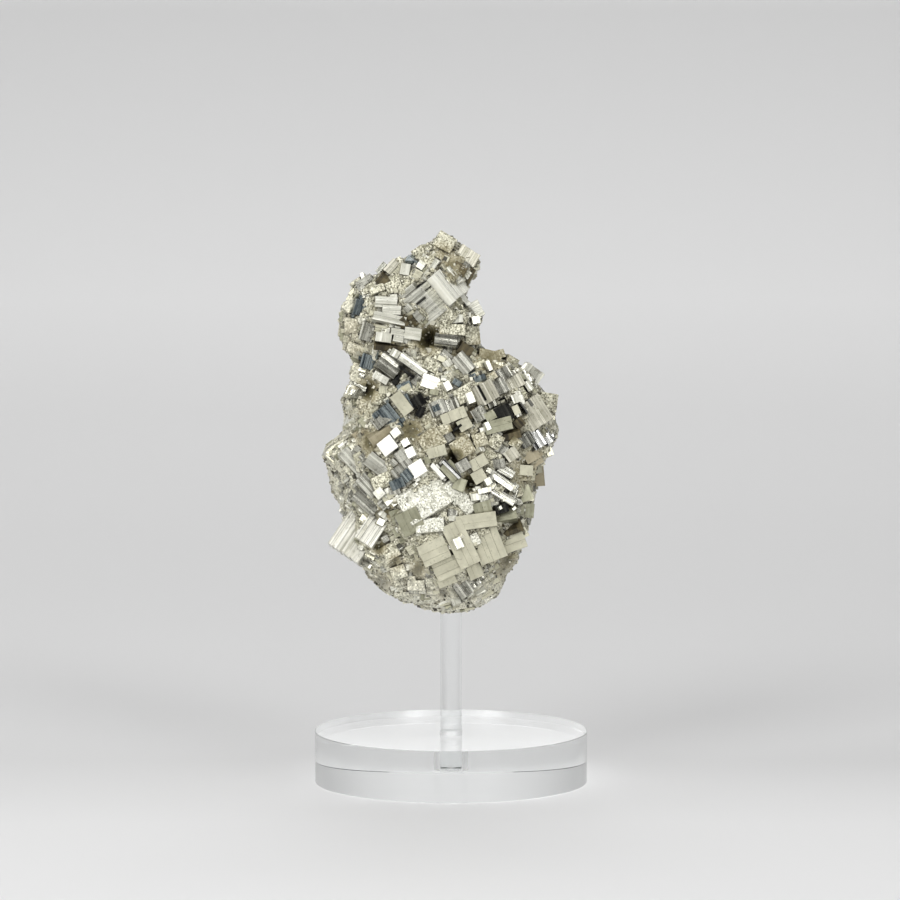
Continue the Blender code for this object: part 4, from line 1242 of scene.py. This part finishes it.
def build_set():
    """A pale bowl: a floor that curves up into a wall all round, so that every view has the same ground."""
    mesh = bmesh.new()
    flat, curve, height = 1.5, 1.0, 2.8
    outline = [(0, 0), (flat, 0)]
    for step in range(1, 13):
        turn = math.pi / 2 * step / 12
        outline.append((flat + curve * math.sin(turn), curve * (1 - math.cos(turn))))
    outline.append((flat + curve, height))
    corners = [mesh.verts.new((x, 0, z - 0.1 * MM)) for x, z in outline]
    edges = [mesh.edges.new(pair) for pair in zip(corners, corners[1:])]
    bmesh.ops.spin(mesh, geom=edges + corners, axis=(0, 0, 1), cent=(0, 0, 0), steps=96, angle=2 * math.pi)
    bmesh.ops.remove_doubles(mesh, verts=mesh.verts, dist=0.1 * MM)
    bmesh.ops.recalc_face_normals(mesh, faces=mesh.faces)
    bmesh.ops.reverse_faces(mesh, faces=mesh.faces)
    for face in mesh.faces:
        face.smooth = True
    data = bpy.data.meshes.new("pale_bowl")
    mesh.to_mesh(data)
    mesh.free()
    # Pale paper that the camera sees, painted in bands by height as painted light and shade: a brighter band
    # on the front wall from about 0.39 to 0.77 m, dark grey above about 1 m for the unlit room that the crystal
    # faces mirror, and on the back wall a darker band near 0.26 m under a paler one from 0.33 m
    paint, tree, shader = new_material("pale_satin_paper")
    place = add_node(tree, "ShaderNodeTexCoord").outputs["Object"]
    axes = add_node(tree, "ShaderNodeSeparateXYZ", Vector=place).outputs
    share = add_node(tree, "ShaderNodeMath", {"operation": "DIVIDE"}, n0=axes["Z"], n1=BOWL_SHADES).outputs[0]
    before = ramp(
        tree, share, (0.28, linear("D6D6D6")), (0.35, linear("EEEEEE")), (0.7, linear("EEEEEE")), (0.95, linear("3A3A3A")),
    )
    behind = ramp(
        tree, share, (0.0, linear("D6D6D6")), (0.05, linear("DADADA")), (0.24, linear("C6C6C6")),
        (0.30, linear("E0E0E0")), (0.95, linear("B8B8B8")),
    )
    depth = add_node(tree, "ShaderNodeMapRange", Value=axes["Y"])
    colour = add_node(
        tree, "ShaderNodeMix", {"data_type": "RGBA"}, n0=depth.outputs[0], n6=before, n7=behind,
    ).outputs[2]
    # Painted shade: the paper is painted darker, multiplied by mid grey, from 1.4 to 1.9 m out to either side, fading
    # out behind the disc
    aside = add_node(tree, "ShaderNodeMath", {"operation": "ABSOLUTE"}, n0=axes["X"]).outputs[0]
    wings = add_node(tree, "ShaderNodeMapRange", Value=aside)
    wings.inputs["From Min"].default_value = 1.4
    wings.inputs["From Max"].default_value = 1.9
    painted_side_shade = add_node(
        tree, "ShaderNodeMath", {"operation": "SUBTRACT", "use_clamp": True}, n0=wings.outputs[0], n1=depth.outputs[0],
    ).outputs[0]
    grey = linear("848484")
    colour = add_node(
        tree, "ShaderNodeMix", {"data_type": "RGBA", "blend_type": "MULTIPLY"}, n0=painted_side_shade, n6=colour, n7=grey,
    ).outputs[2]
    # Painted shadow: the floor is painted a little darker just behind the disc
    along = add_node(tree, "ShaderNodeMapRange", Value=axes["Y"])
    along.inputs["From Min"].default_value = -0.15
    painted_floor_shadow = ramp(
        tree, along.outputs[0], (0.05, linear("FFFFFF")), (0.17, linear("F1F1F1")), (0.45, linear("FCFCFC")),
        (1.0, linear("FFFFFF")),
    )
    colour = add_node(
        tree, "ShaderNodeMix", {"data_type": "RGBA", "blend_type": "MULTIPLY"}, n0=1.0, n6=colour, n7=painted_floor_shadow,
    ).outputs[2]
    tree.links.new(colour, shader.inputs["Base Color"])
    shader.inputs["Roughness"].default_value = 0.5
    data.materials.append(paint)
    bowl = bpy.data.objects.new("pale_bowl", data)
    bpy.context.scene.collection.objects.link(bowl)


def softbox(name, place, aim, width, height, power):
    light = bpy.data.lights.new(name, "AREA")
    light.shape = "RECTANGLE"
    light.size = width
    light.size_y = height
    light.energy = power
    lamp = bpy.data.objects.new(name, light)
    lamp.location = place
    lamp.rotation_euler = (Vector(aim) - Vector(place)).to_track_quat("-Z", "Y").to_euler()
    bpy.context.scene.collection.objects.link(lamp)


def build_light():
    world = bpy.data.worlds.new("studio_air")
    world.use_nodes = True
    world.node_tree.nodes["Background"].inputs["Color"].default_value = (0.13, 0.13, 0.13, 1)
    world.node_tree.nodes["Background"].inputs["Strength"].default_value = 1.0
    bpy.context.scene.world = world
    aim = (0, 0, 0.12)
    softbox("softbox_left", (-0.95, -1.50, 1.05), aim, 0.7, 1.0, 18.5)
    softbox("softbox_right", (0.95, -1.50, 0.95), aim, 0.5, 1.0, 12)
    softbox("softbox_side", (-1.5, -0.4, 0.8), aim, 0.6, 0.8, 5)
    softbox("softbox_top", (0, 0, 2.45), aim, 2.6, 2.6, 18.5)
    softbox("softbox_backdrop", (0, 1.5, 1.6), (0, 1.8, 0.0), 1.6, 0.6, 14)
    softbox("softbox_room", (0, -0.6, 1.9), (0, -2.2, 0.2), 1.6, 0.6, 16)


def build_camera():
    data = bpy.data.cameras.new("photo_camera")
    data.lens = 200
    data.sensor_width = 36
    camera = bpy.data.objects.new("photo_camera", data)
    camera.location = (-0.37 * MM, -1847.3 * MM, 306.8 * MM)
    camera.rotation_euler = (math.radians(90 - 5.65), 0, 0)
    bpy.context.scene.collection.objects.link(camera)
    bpy.context.scene.camera = camera


build_camera()
build_set()
build_light()
build_stone()
build_stand()
bpy.context.scene.view_settings.view_transform = "Standard"
